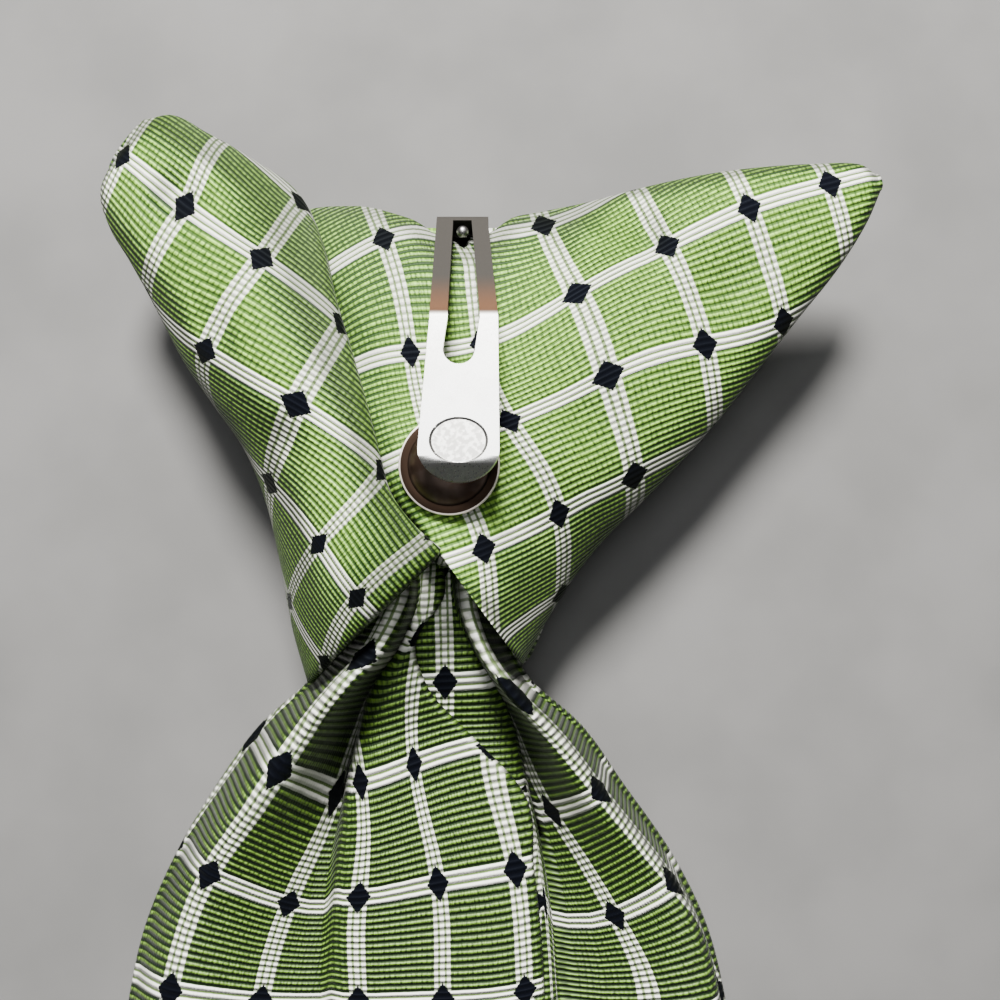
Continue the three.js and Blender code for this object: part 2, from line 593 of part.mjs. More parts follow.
function baseOutline(hookY) {
  const shape = new THREE.Shape();
  const half = HOOK_WIDTH / 2;
  const end = hookY - BASE_LENGTH - STRIP;
  shape.moveTo(half, hookY + STRIP);
  shape.lineTo(-half, hookY + STRIP);
  shape.lineTo(-half, end);
  shape.lineTo(half, end);
  return shape;
}

function tongueOutline(hookY, bendY, tipY) {
  const shape = new THREE.Shape();
  const narrow = HOOK_WIDTH / 2;
  const wide = TONGUE_WIDTH / 2;
  const waist = (narrow + wide) / 2;
  const shoulder = tipY + TIP_SHOULDER;
  shape.moveTo(narrow, hookY - STRIP);
  shape.lineTo(narrow, hookY + STRIP);
  shape.lineTo(-narrow, hookY + STRIP);
  shape.lineTo(-narrow, hookY - STRIP);
  shape.lineTo(BEND_SWAY - waist, bendY);
  shape.lineTo(-wide, shoulder);
  shape.absellipse(0, shoulder, wide, TIP_SHOULDER + LIP_REACH, Math.PI, 2 * Math.PI, false);
  shape.lineTo(BEND_SWAY + waist, bendY);
  return shape;
}

function slotOutline(hookY, bendY) {
  const shape = new THREE.Shape();
  const round = SLOT_WIDTH / 2;
  const start = hookY - STRIP / 2 - SLOT_MARGIN;
  const end = bendY - SLOT_WIDTH;
  shape.moveTo(SLOT_NECK / 2, start);
  shape.lineTo(-SLOT_NECK / 2, start);
  shape.lineTo(BEND_SWAY - round, bendY);
  shape.lineTo(-round, end);
  shape.absarc(0, end, round, Math.PI, 2 * Math.PI, false);
  shape.lineTo(BEND_SWAY + round, bendY);
  return shape;
}

function ovalOutline(middleY) {
  const shape = new THREE.Shape();
  shape.absellipse(0, middleY, DIMPLE_WIDTH / 2, 0.4 * DIMPLE_WIDTH, 0, 2 * Math.PI, false);
  return shape;
}

// The dish: a dome pressed from sheet, on a flat flange, open below.
function clipDish(cloth) {
  const rim = DISH_DIAMETER / 2;
  const foot = rim - FLANGE_WIDTH;
  const arch = (radius, height) => {
    const points = [];
    for (let i = 0; i <= 5; i++) {
      const angle = (i / 5) * Math.PI / 2;
      points.push(new THREE.Vector2(radius * Math.sin(angle), height * Math.cos(angle) ** 1.3));
    }
    return points;
  };
  const outline = [
    ...arch(foot, DISH_RISE + DISH_SHEET).map((p) => new THREE.Vector2(p.x, Math.max(p.y, DISH_SHEET))),
    new THREE.Vector2(rim, DISH_SHEET),
    new THREE.Vector2(rim, 0),
    ...arch(foot - DISH_SHEET, DISH_RISE).reverse(),
  ];
  const geometry = new THREE.LatheGeometry(outline.reverse(), 24);
  geometry.rotateX(Math.PI / 2);
  const solid = toManifold(geometry);
  const mesh = makeMesh('clip_dish', fromManifold(solid), materials.dish);
  const [x, y] = [DISH_X, DISH_ALONG * KNOT_LENGTH];
  const places = [[x, y]];
  for (let i = 0; i < 24; i++) {
    const angle = (i / 24) * 2 * Math.PI;
    places.push([x + rim * Math.cos(angle), y + rim * Math.sin(angle)]);
    places.push([x + 0.6 * rim * Math.cos(angle), y + 0.6 * rim * Math.sin(angle)]);
  }
  mesh.position.set(x, y, highestOver(cloth, places) + CLEARANCE);
  return mesh;
}

// The rivet head that stands in the slot, just under the hook.
function clipRivet(cloth) {
  const radius = RIVET_DIAMETER / 2;
  const geometry = new THREE.SphereGeometry(radius, 14, 8);
  geometry.rotateX(Math.PI / 2);
  const mesh = makeMesh('clip_rivet', fromManifold(toManifold(geometry)), materials.rivet);
  const y = topEdgeOf(cloth, CLIP_X - radius, CLIP_X + radius) - RIVET_INSET;
  const under = gridOver(CLIP_X - radius, CLIP_X + radius, y - radius, y + radius, 4);
  mesh.position.set(CLIP_X, y, highestOver(cloth, under) + CLEARANCE + radius);
  return mesh;
}

const wingRight = makeMesh('wing_right', wing(RIGHT_WING, RIGHT_DENTS, RIGHT_RINGS, 1), materials.cloth);
const wingLeft = makeMesh('wing_left', wing(LEFT_WING, LEFT_DENTS, LEFT_RINGS, 0), materials.cloth);

const tie = new THREE.Group();
tie.add(wingRight);
tie.add(wingLeft);
tie.add(makeMesh('knot_front', frontBand([wingLeft, wingRight]), materials.cloth));
tie.add(makeMesh('blade', blade(), materials.cloth));
tie.add(clipSpring(wingRight));
tie.add(clipDish(wingRight));
tie.add(clipRivet(wingRight));

export default tie;
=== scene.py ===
"""A clip-on necktie lying face down: woven silk folded into a winged knot, with a sprung clip."""
import math

import bmesh
import bpy
import numpy as np
from bpy.props import FloatProperty, FloatVectorProperty, IntProperty, PointerProperty
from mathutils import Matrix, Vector
from mathutils.bvhtree import BVHTree


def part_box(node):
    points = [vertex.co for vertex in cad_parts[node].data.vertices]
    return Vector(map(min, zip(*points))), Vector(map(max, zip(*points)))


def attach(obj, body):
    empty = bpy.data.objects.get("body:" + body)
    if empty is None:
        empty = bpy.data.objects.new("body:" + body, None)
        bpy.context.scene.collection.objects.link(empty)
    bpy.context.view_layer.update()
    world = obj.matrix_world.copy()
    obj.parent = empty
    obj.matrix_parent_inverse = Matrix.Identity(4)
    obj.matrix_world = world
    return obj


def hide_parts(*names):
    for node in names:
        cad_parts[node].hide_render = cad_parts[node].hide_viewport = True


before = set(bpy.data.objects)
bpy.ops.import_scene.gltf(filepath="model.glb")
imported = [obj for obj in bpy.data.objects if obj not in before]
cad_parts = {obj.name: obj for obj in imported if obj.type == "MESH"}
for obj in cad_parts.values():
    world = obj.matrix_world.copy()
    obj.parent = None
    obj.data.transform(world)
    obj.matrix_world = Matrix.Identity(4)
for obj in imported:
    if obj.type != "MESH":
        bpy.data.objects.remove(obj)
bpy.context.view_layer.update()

bl_info = {
    "name": "Clip-on Necktie",
    "version": (1, 0, 0),
    "blender": (4, 5, 0),
    "location": "View3D > Sidebar > Necktie",
    "description": "Builds a folded silk clip-on necktie, its metal clip and a plain studio",
    "category": "Add Mesh",
}

MM = 0.001

# Wings: rows from the tip to the mouth, each a section from the outer fold to the inner fold.
# at, then shares of the wing span (x), the knot's length (y) and its depth (z, rise, puff).
WING_COLUMNS = ("at", "outer_x", "outer_y", "outer_z", "inner_x", "inner_y", "inner_z", "rise", "puff")
RIGHT_WING = (
    (0.00, 0.570, 0.505, 0.655, 0.563, 0.542, 0.665, 0.00, 0.030),
    (0.05, 0.553, 0.440, 0.635, 0.540, 0.559, 0.690, 0.00, 0.062),
    (0.13, 0.517, 0.343, 0.610, 0.480, 0.557, 0.700, 0.00, 0.090),
    (0.23, 0.464, 0.232, 0.585, 0.405, 0.545, 0.715, 0.00, 0.110),
    (0.34, 0.411, 0.120, 0.565, 0.330, 0.523, 0.730, 0.01, 0.118),
    (0.45, 0.357, 0.007, 0.545, 0.255, 0.493, 0.735, 0.04, 0.110),
    (0.55, 0.306, -0.086, 0.530, 0.176, 0.457, 0.735, 0.08, 0.096),
    (0.64, 0.262, -0.161, 0.520, 0.085, 0.434, 0.720, 0.14, 0.082),
    (0.72, 0.223, -0.225, 0.510, -0.015, 0.432, 0.710, 0.20, 0.070),
    (0.79, 0.194, -0.282, 0.500, -0.100, 0.466, 0.690, 0.21, 0.065),
    (0.84, 0.173, -0.330, 0.490, -0.175, 0.440, 0.670, 0.21, 0.062),
    (0.89, 0.155, -0.378, 0.480, -0.150, 0.250, 0.710, 0.21, 0.060),
    (0.93, 0.140, -0.418, 0.475, -0.125, 0.100, 0.750, 0.21, 0.060),
    (0.97, 0.125, -0.463, 0.472, -0.080, -0.080, 0.790, 0.19, 0.060),
    (1.00, 0.113, -0.496, 0.470, 0.005, -0.250, 0.831, 0.16, 0.058),
)
LEFT_WING = (
    (0.00, -0.417, 0.557, 0.640, -0.364, 0.664, 0.680, 0.00, 0.032),
    (0.04, -0.427, 0.511, 0.625, -0.332, 0.666, 0.700, 0.00, 0.070),
    (0.12, -0.417, 0.439, 0.600, -0.287, 0.625, 0.715, 0.00, 0.104),
    (0.22, -0.389, 0.361, 0.575, -0.230, 0.566, 0.730, 0.01, 0.126),
    (0.32, -0.362, 0.284, 0.555, -0.166, 0.480, 0.780, 0.03, 0.130),
    (0.42, -0.336, 0.207, 0.540, -0.130, 0.361, 0.845, 0.06, 0.122),
    (0.52, -0.309, 0.130, 0.530, -0.109, 0.232, 0.895, 0.09, 0.110),
    (0.62, -0.272, 0.043, 0.520, -0.085, 0.107, 0.930, 0.11, 0.098),
    (0.72, -0.232, -0.054, 0.505, -0.064, -0.011, 0.950, 0.12, 0.086),
    (0.80, -0.206, -0.161, 0.495, -0.052, -0.089, 0.950, 0.12, 0.076),
    (0.88, -0.189, -0.286, 0.480, -0.038, -0.164, 0.945, 0.12, 0.068),
    (0.95, -0.174, -0.429, 0.468, -0.010, -0.225, 0.940, 0.11, 0.062),
    (1.00, -0.156, -0.539, 0.460, 0.018, -0.266, 0.935, 0.09, 0.056),
)
# Soft folds of the wings' upper faces: place along and across, reach along and across, and depth as
# a share of the knot's depth.
RIGHT_DENTS = (
    (0.47, 0.82, 0.035, 0.14, 0.040),
    (0.56, 0.86, 0.030, 0.12, -0.030),
    (0.36, 0.45, 0.090, 0.16, 0.025),
    (0.66, 0.30, 0.060, 0.12, 0.022),
)
LEFT_DENTS = (
    (0.22, 0.55, 0.070, 0.18, 0.030),
    (0.50, 0.35, 0.080, 0.15, 0.025),
    (0.74, 0.45, 0.050, 0.20, 0.020),
)
# Front band: a shallow tray. along is a share of the knot's length, left and right of the wing span,
# wall and lift of the knot's depth.
FRONT_COLUMNS = ("along", "left", "right", "wall", "lift")
FRONT_BAND = (
    (-0.520, -0.152, 0.110, 0.10, 0.00),
    (-0.490, -0.162, 0.124, 0.26, 0.00),
    (-0.440, -0.172, 0.136, 0.42, 0.00),
    (-0.260, -0.195, 0.178, 0.50, 0.00),
    (0.030, -0.262, 0.270, 0.50, 0.00),
    (0.150, -0.310, 0.325, 0.50, 0.00),
    (0.250, -0.348, 0.372, 0.50, 0.00),
    (0.330, -0.362, 0.395, 0.50, 0.00),
    (0.390, -0.350, 0.385, 0.46, 0.03),
    (0.424, -0.328, 0.364, 0.34, 0.13),
    (0.437, -0.304, 0.342, 0.20, 0.31),
    (0.443, -0.280, 0.320, 0.08, 0.50),
)
LIFT_START = 0.38  # share of the knot's length from which the band's rows lie closer
# A wall's places, from the floor to its edge: shares of its turn inward, and of its height.
WALL_PLACES = ((1.6, 0), (0.62, 0.14), (0.12, 0.5), (0, 1))
TURN_GROWTH, TURN_LEAST, TURN_MOST = 0.45, 0.0006, 0.005  # the turn grows with the wall's height
# Blade sections. gather and plain are shares of the two stretches, mouth and wide make up the half
# width, the places across are shares of it, and the heights shares of the knot's depth.
BLADE_COLUMNS = (
    "gather", "plain", "mouth", "wide", "edge_height", "left_crest", "left_valley", "panel_left", "lap",
    "panel_right", "right_valley", "right_crest", "crest_height", "valley_height", "panel_height",
    "lift", "axis",
)
BLADE = (
    (0, 0, 1, 0, 0.19, -0.20, -0.08, 0.02, 0.22, 0.34, 0.44, 0.56, 0.48, 0.33, 0.35, 1, -0.017),
    (0.08, 0, 1, 0, 0.21, -0.16, -0.04, 0.06, 0.24, 0.38, 0.46, 0.54, 0.55, 0.36, 0.38, 1, -0.017),
    (0.17, 0, 1.02, 0, 0.24, -0.34, -0.20, -0.11, -0.06, 0.52, 0.60, 0.70, 0.57, 0.30, 0.35, 1, -0.019),
    (0.25, 0, 1.18, 0.01, 0.26, -0.62, -0.42, -0.33, 0.03, 0.62, 0.70, 0.83, 0.57, 0.22, 0.31, 1, -0.019),
    (0.35, 0, 1.10, 0.16, 0.20, -0.66, -0.39, -0.32, 0.27, 0.54, 0.60, 0.82, 0.52, 0.15, 0.26, 0, -0.020),
    (0.47, 0, 0.80, 0.33, 0.12, -0.73, -0.37, -0.31, 0.49, 0.50, 0.54, 0.86, 0.43, 0.10, 0.22, 0, -0.022),
    (0.63, 0, 0.45, 0.53, 0.04, -0.80, -0.37, -0.29, 0.43, 0.44, 0.49, 0.92, 0.29, 0.08, 0.18, 0, -0.018),
    (0.78, 0, 0.22, 0.66, 0.01, -0.82, -0.36, -0.27, 0.40, 0.41, 0.46, 0.94, 0.21, 0.07, 0.15, 0, -0.015),
    (1, 0, 0, 0.76, 0, -0.85, -0.34, -0.26, 0.38, 0.39, 0.45, 0.94, 0.14, 0.05, 0.12, 0, -0.012),
    (1, 0.05, 0, 0.85, 0, -0.87, -0.33, -0.27, 0.32, 0.40, 0.45, 0.92, 0.06, 0.02, 0.055, 0, -0.011),
    (1, 0.16, 0, 0.91, 0, -0.88, -0.34, -0.28, 0.14, 0.40, 0.46, 0.90, 0.02, 0, 0.012, 0, -0.010),
    (1, 0.50, 0, 0.95, 0, -0.88, -0.36, -0.30, 0.08, 0.38, 0.44, 0.88, 0.01, 0, 0.005, 0, -0.010),
    (1, 0.885, 0, 1, 0, -0.88, -0.36, -0.30, 0.08, 0.38, 0.44, 0.88, 0.005, 0, 0, 0, -0.010),
)
BLADE_STEPS = (6, 5, 5, 6, 6, 4, 3, 4, 6, 6, 4, 3, 4, 6, 6, 5, 5, 4)  # between a section's places
BLADE_START = -0.27  # in shares of the knot's length
POINT_START = 0.885  # in shares of the plain stretch
GATHERED_ROWS, FLAT_ROWS, POINT_ROWS = 113, 61, 17
CURL, CURL_RISE = 0.0025, 1.1  # a side fold's curl: its reach when flat, and its growth with the height
TUCK = 0.06  # from the lap's left side to the hidden flap's end, as a share of the half width
SHUT_TIP = 0.1  # the wing's pouch is filled up to this share of its length
CREST = 0.64  # below 1, it moves the crest of a wing's bow towards the outer fold
BOW = 1.2  # how much fuller the bow is than the plain section's
SWELL = 0.8  # below 1, it fills out a wing's section towards its folds
WING_SIDES = 160  # points round a wing's section
WING_ROWS = 121  # sections along a wing
TIP_CROWDING = 1.15  # over 1, it draws the sections together towards the tip
PINCH_FROM = 0.8  # share of the section from which the hook draws it in
TIP_REACH = 0.0007  # of the rounded end beyond the tip
MOUTH_LIP = 0.0004  # of the rounded rim beyond the mouth

# Where the weave's crossings lie on the cloth: place in plan in millimetres, then the crossing's
# number along the weft and along the warp.
RIGHT_CROSSINGS = (
    (-5.7, 21.4, -2, 0), (3.7, 22.0, -1, 0), (13.2, 22.6, 0, 0), (-1.9, 7.6, -2, 1),
    (5.8, 7.8, -1, 1), (16.6, 14.3, 0, 1), (27.4, 20.3, 1, 1), (36.6, 24.9, 2, 1), (46.9, 28.1, 3, 1),
    (8.9, -0.7, -1, 2), (20.6, 4.9, 0, 2), (31.7, 8.9, 1, 2), (41.4, 12.1, 2, 2), (6.1, -14.7, -2, 3),
    (14.4, -10.6, -1, 3), (23.4, -6.3, 0, 3), (15.1, -19.8, -1, 4),
)
LEFT_CROSSINGS = (
    (-36.8, 32.0, 0, 0), (-28.6, 25.1, 1, 0), (-18.8, 17.7, 2, 0), (-9.3, 9.8, 3, 0),
    (-14.9, 25.2, 2, -1), (-25.5, 7.9, 2, 1), (-14.0, 0.8, 3, 1), (-4.5, -6.3, 4, 1),
    (-25.1, 33.4, 1, -0.80), (-34.2, 16.6, 1, 0.84), (-18.3, -6.9, 3, 2), (-11.6, -14.2, 4, 2),
    (-7.7, -20.4, 5, 2),
)
LEFT_RIDGE_CROSSINGS = (
    (-7.2, -26.9, 0, 0), (-17.4, -38.9, 0, 1), (-26.6, -52.7, 0, 2), (-32.3, -67.2, 0, 3),
    (-13.1, -44.6, 1, 1), (-18.9, -57.1, 1, 2),
)
LAPPED_CROSSINGS = (
    (-9.5, -42.3, 2, 1), (-10.5, -56.2, 2, 2), (-10.0, -68.7, 2, 3), (-2.7, -40.4, 3, 1),
    (-0.3, -54.7, 3, 2), (1.2, -68.8, 3, 3), (10.0, -53.2, 4, 2), (12.0, -67.6, 4, 3),
)
RIGHT_RIDGE_CROSSINGS = (
    (9.8, -31.2, 0, 0), (19.3, -42.7, 0, 1), (28.3, -54.3, 0, 2), (35.7, -69.2, 0, 3),
    (15.3, -46.2, -1, 1), (21.4, -59.3, -1, 2),
)
BENEATH_CROSSINGS = ((1.0, -29.9, -1, 0),)
CROSSING_EASE = 0.02  # lets the weave miss its crossings a little, so that it stays smooth
# Plain layout of the weave on the wings and on the blade's flaps, in millimetres: one crossing, then
# the steps along the weft and the warp.
RIGHT_LAYOUT = ((13.8, 25.8), (9.96, 4.11), (3.33, -10.66))
LEFT_LAYOUT = ((-36.2, 31.7), (8.55, -7.3), (-5.0, -8.34))
LAPPED_LAYOUT = ((-31.1, -29.2), (10.3, 1.5), (0.5, -13.5))
BENEATH_LAYOUT = ((11.9, -29.4), (10.9, 0.5), (0.0, -14.1))
FIRST_CROSSING_Y = -0.0265  # first crossings of the blade's ridges
WIDE_Y = -0.12  # where the blade is plain and wide, to count the repeats between its ridges

# Height map of a piece's cloth, which tells the hollows where shade is painted: cell size, cells of
# margin, and reach and width of the blur in cells. HOLLOWS_FADE is the run over which hollows start to
# count.
MAP_CELL = 0.001
MAP_MARGIN = 12
BLUR_REACH = 8
BLUR_WIDTH = 4.5
HOLLOWS_FADE = 0.022

# Side view of the clip's strip: Y and Z of its corners in millimetres.
CLIP_BASE = 16.4  # from the hook to the hidden end of the strip
CLIP_CORNERS = (
    (7.24, 18.08), (23.24, 18.08), (23.24, 21.88), (10.04, 29.43), (-6.00, 29.43), (-8.06, 27.63),
)
SLOT_BACK = 0.1 * MM  # from the hook's strip to the end of the slot
DIMPLE_PLACE = 0.13  # its middle, as a share of the way from the tongue's end to its bend
DIMPLE_LENGTH = 0.4  # half its length, as a share of its width
DIMPLE_FLARE = 1.3  # its cutter's top against its foot
EDGE_BEVEL = 0.00009
DOME_BOW = 1.3  # over 1, it steepens the dish's dome

# Silk: flecks, dark warp lines and warp threads in one repeat, scales of its slubs and of its slow
# drift, soft edge of a stripe in millimetres, and how much of its light the painted shade takes away.
FLECKS, WARP_LINES, WARP_THREADS = 26.0, 16.0, 24.0
SLUB_SCALE, DRIFT_SCALE = 900.0, 70.0
SOFT_EDGE = 0.06
PAINTED_SHADE_LOSS = 0.72
# Spring steel: Y where the ramp starts, painted dark as a painted reflection, and where its brown fades
# out, and the worn dimple in plan.
RAMP_EDGE = (0.0092, 0.0100)
BROWN_RUN = (0.0098, 0.0150)
DIMPLE_MIDDLE, DIMPLE_REACH = (0.0037, -0.0039), (0.0029, 0.0023)
METAL_RELIEF = 0.00003


# ---------------------------------------------------------------- sizes

def plain(name, text, value, **kind):
    return FloatProperty(name=name, description=text, default=value, min=0.0, **kind)


def length(name, text, value):
    return plain(name, text, value, subtype="DISTANCE", unit="LENGTH")


def colour(name, text, value):
    return FloatVectorProperty(name=name, description=text, default=value, size=3, subtype="COLOR",
                               min=0.0, max=1.0)


class TieSizes(bpy.types.PropertyGroup):
    """Sizes of the folded cloth."""
    cloth: length("Cloth", "Wall of the silk with its interlining", 0.0011)
    clearance: length("Clearance", "Left between pieces that touch", 0.0003)
    wing_span: length("Wing span", "From tip to tip", 0.094)
    knot_length: length("Knot length", "From the corners of the mouth to the top edge", 0.056)
    knot_depth: length("Knot depth", "From the flat front to the highest cloth", 0.027)
    gather: length("Gather", "Pleated stretch of the blade", 0.060)
    plain_length: length("Plain stretch", "Flat stretch of the blade, down to the point", 0.399)
    blade_width: length("Blade width", "At its widest", 0.100)
    point_width: length("Point width", "Blunt end of the point", 0.0044)


class WeaveSizes(bpy.types.PropertyGroup):
    """Repeat and colours of the woven silk."""
    repeat_weft: length("Repeat across", "From one warp stripe to the next", 0.0109)
    repeat_warp: length("Repeat along", "From one weft stripe to the next", 0.0141)
    stripe: length("Stripe", "Width of the pale stripes", 0.0022)
    diamond_tall: length("Diamond height", "Of the dark diamond, along the warp", 0.0044)
    diamond_wide: length("Diamond width", "Of the dark diamond, along the weft", 0.0032)
    ribs: IntProperty(name="Ribs", description="Ribs in one repeat along the warp", default=17, min=1)
    green: colour("Green", "Lit threads of the ground", (0.35, 0.645, 0.095))
    # The gaps' dark green is partly the threads' own colour and partly painted shade between the ribs.
    dark: colour("Dark green", "Gaps between the ribs", (0.009, 0.040, 0.003))
    pale: colour("Pale", "Threads of the stripes", (0.94, 0.94, 0.86))
    navy: colour("Navy", "Threads of the diamonds", (0.0010, 0.0012, 0.006))
    # Painted shade: the blade's copy of the silk is painted darker than the knot's, for the light that
    # grazes it.
    blade_painted_shade: plain("Blade shade", "How much darker the blade's ground is than the knot's", 0.54)


class ClipSizes(bpy.types.PropertyGroup):
    """Sizes of the sprung clip, its dish and its rivet."""
    strip: length("Strip", "Thickness of the spring steel", 0.0008)
    hook_width: length("Hook width", "Over the top edge of the knot", 0.0059)
    tongue_width: length("Tongue width", "At its widest", 0.0085)
    slot_width: length("Slot width", "At its round end", 0.0034)
    slot_neck: length("Slot neck", "At the hook", 0.0021)
    dimple_width: length("Dimple width", "Oval pressed into the tongue", 0.0056)
    dimple_depth: length("Dimple depth", "Of the oval", 0.0002)
    clip_x: length("Clip X", "Middle of the clip", 0.0037)
    sway: length("Sway", "How far the clip is drawn aside at its bend", 0.0005)
    bend_radius: length("Bend radius", "Of the strip's bends", 0.0013)
    tip_shoulder: length("Tip shoulder", "Where the tongue's end starts to round", 0.0012)
    pinch_depth: length("Pinch depth", "How far the hook draws in the knot's top edge", 0.0022)
    pinch_width: length("Pinch width", "Of the drawn-in edge", 0.0092)
    dish_diameter: length("Dish diameter", "Over its flange", 0.011)
    dish_sheet: length("Dish sheet", "Thickness of the pressed sheet", 0.0006)
    dish_rise: length("Dish rise", "Of the dome above its flange", 0.0019)
    flange: length("Flange", "Width of the dish's flange", 0.0008)
    rivet_diameter: length("Rivet diameter", "Of the rivet's head", 0.0014)


class StudioSizes(bpy.types.PropertyGroup):
    """Camera, floor and lights."""
    focal: plain("Focal length", "Of the camera, on a 36 mm sensor", 33.3)
    distance: length("Distance", "From the camera to its target", 0.125)
    elevation: plain("Elevation", "Of the camera", math.radians(84), subtype="ANGLE", unit="ROTATION")
    floor: length("Floor", "Width of the floor", 6.0)
    key_power: plain("Key power", "Of the large soft light, in watts", 12.8)
    top_power: plain("Top power", "Of the light straight above, in watts", 0.8)
    fill_power: plain("Fill power", "Of the weaker soft light, in watts", 0.3)
    ambient: plain("Ambient", "Brightness of the room", 0.03)


# ---------------------------------------------------------------- smooth runs

def read_table(rows, place):
    """One row of a table, read smoothly at any share of its first column."""
    rows = np.asarray(rows, dtype=float)
    places = rows[:, 0]
    last = len(rows) - 1
    i1 = int(np.clip(np.searchsorted(places, place, side="right"), 1, last))
    t0, t1 = places[i1 - 1], places[i1]
    before, after = i1 - 2, i1 + 1
    t_before = places[before] if before >= 0 else t1
    before = before if before >= 0 else i1
    t_after = places[after] if after <= last else t0
    after = after if after <= last else i1 - 1
    half = (t1 - t0) / 2
    w_before = half / (t0 - t_before)
    w_after = half / (t_after - t1)
    p = np.clip((place - t0) / (t1 - t0), 0, 1)
    weights = (
        -w_before * p ** 3 + 2 * w_before * p ** 2 - w_before * p,
        (1 + w_before) * p ** 3 + (-1.5 - 2 * w_before) * p ** 2 + (-0.5 + w_before) * p + 1,
        (-1 - w_after) * p ** 3 + (1.5 + w_after) * p ** 2 + 0.5 * p,
        w_after * p ** 3 - w_after * p ** 2,
    )
    picked = (rows[before], rows[i1 - 1], rows[i1], rows[after])
    return sum(weight * row for weight, row in zip(weights, picked))


def read_named(columns, rows, place):
    return dict(zip(columns, read_table(rows, place)))


def smooth_run(points, steps):
    """A centripetal curve through points, with the given number of steps in each stretch."""
    points = np.asarray(points, dtype=float)
    ends = (2 * points[0] - points[1], 2 * points[-1] - points[-2])
    padded = np.vstack([ends[0], points, ends[1]])
    out = []
    for span, count in enumerate(steps):
        p0, p1, p2, p3 = padded[span:span + 4]
        d1 = max(np.linalg.norm(p2 - p1) ** 0.5, 1e-4)
        d0 = max(np.linalg.norm(p1 - p0) ** 0.5, 1e-4)
        d2 = max(np.linalg.norm(p3 - p2) ** 0.5, 1e-4)
        start = ((p1 - p0) / d0 - (p2 - p0) / (d0 + d1) + (p2 - p1) / d1) * d1
        end = ((p2 - p1) / d1 - (p3 - p1) / (d1 + d2) + (p3 - p2) / d2) * d1
        w = (np.arange(count) / count)[:, None]
        out.append(p1 + start * w + (-3 * p1 + 3 * p2 - 2 * start - end) * w ** 2
                   + (2 * p1 - 2 * p2 + start + end) * w ** 3)
    out.append(points[-1:])
    return np.vstack(out)


def smooth_step(values, low, high):
    share = np.clip((values - low) / (high - low), 0, 1)
    return share * share * (3 - 2 * share)


def unit(vectors):
    return vectors / np.maximum(np.linalg.norm(vectors, axis=-1, keepdims=True), 1e-12)


def arc_across(rows):
    """Run of the cloth along each row, from the row's first point."""
    steps = np.linalg.norm(np.diff(rows, axis=1), axis=2)
    return np.concatenate([np.zeros((len(rows), 1)), np.cumsum(steps, axis=1)], axis=1)


# ---------------------------------------------------------------- meshes from rings

def mesh_object(name, points, faces, corners):
    """A smooth mesh with one UV map that holds the weave's numbers at each face corner."""
    mesh = bpy.data.meshes.new(name)
    mesh.from_pydata([tuple(p) for p in points], [], [tuple(int(i) for i in f) for f in faces])
    layer = mesh.uv_layers.new(name="weave")
    layer.data.foreach_set("uv", np.concatenate([np.asarray(c, dtype=float).ravel() for c in corners]))
    piece = bpy.data.objects.new(name, mesh)
    bpy.context.scene.collection.objects.link(piece)
    work = bmesh.new()
    work.from_mesh(mesh)
    bmesh.ops.recalc_face_normals(work, faces=work.faces)
    if work.calc_volume(signed=True) < 0:
        bmesh.ops.reverse_faces(work, faces=work.faces)
    work.to_mesh(mesh)
    work.free()
    for face in mesh.polygons:
        face.use_smooth = True
    return piece


def read_vertices(mesh, what):
    values = np.empty(len(mesh.vertices) * 3)
    mesh.vertices.foreach_get(what, values)
    return values.reshape(-1, 3)


def paint_shade_and_sheen(mesh, gleam, shade_below, sheen_above, deep=0.004, opens=-1.0):
    """Writes on each vertex, from 0 to 1, how much painted shade darkens the silk there: in the hollows of
    its folds, and where it is turned away from the way of its painted sheen. The shade is whole where
    the cosine to that way is under shade_below, and the painted sheen is full over sheen_above. A hollow
    is wholly shaded from deep below the cloth around it, and hollows count only on the blade's side of Y =
    -opens."""
    spots, normals = read_vertices(mesh, "co"), read_vertices(mesh, "normal")
    low = spots[:, :2].min(axis=0) - MAP_MARGIN * MAP_CELL
    places = np.floor((spots[:, :2] - low) / MAP_CELL).astype(int)
    heights = np.zeros(places.max(axis=0) + MAP_MARGIN + 1)
    np.maximum.at(heights, (places[:, 0], places[:, 1]), spots[:, 2])
    for axis in (0, 1):
        heights = np.max([np.roll(heights, shift, axis) for shift in (-1, 0, 1)], axis=0)
    shifts = np.arange(-BLUR_REACH, BLUR_REACH + 1)
    weights = np.exp(-(shifts / BLUR_WIDTH) ** 2)
    for axis in (0, 1):
        heights = sum(np.roll(heights, n, axis) * w for n, w in zip(shifts, weights)) / weights.sum()
    depth = np.clip((heights[places[:, 0], places[:, 1]] - spots[:, 2]) / deep, 0, 1)
    depth *= smooth_step(-spots[:, 1], opens, opens + HOLLOWS_FADE)
    turned = 1.0 - smooth_step(np.abs(normals @ unit(np.array(gleam))), shade_below, sheen_above)
    wear_and_painted_shade = mesh.attributes.new("wear_and_painted_shade", "FLOAT", "POINT")
    wear_and_painted_shade.data.foreach_set("value", np.maximum(depth * smooth_step(normals[:, 2], -0.1, 0.4), turned))


def skin_rings(rings, weave):
    """Faces between neighbouring rings. weave has one column more than the rings, for the seam."""
    count = rings.shape[1]
    faces = []
    corners = []
    for j in range(len(rings) - 1):
        for i in range(count):
            k = (i + 1) % count
            a, b = j * count, (j + 1) * count
            faces.append((a + i, a + k, b + k, b + i))
            corners.append((weave[j, i], weave[j, i + 1], weave[j + 1, i + 1], weave[j + 1, i]))
    return faces, corners


def fan_cap(points, faces, corners, start, count, weave):
    """Shuts a rounded ring with a fan from its middle."""
    hub = len(points)
    points.append(np.mean(points[start:start + count], axis=0))
    middle = np.mean(weave, axis=0)
    for i in range(count):
        faces.append((start + (i + 1) % count, start + i, hub))
        corners.append((weave[(i + 1) % count], weave[i], middle))


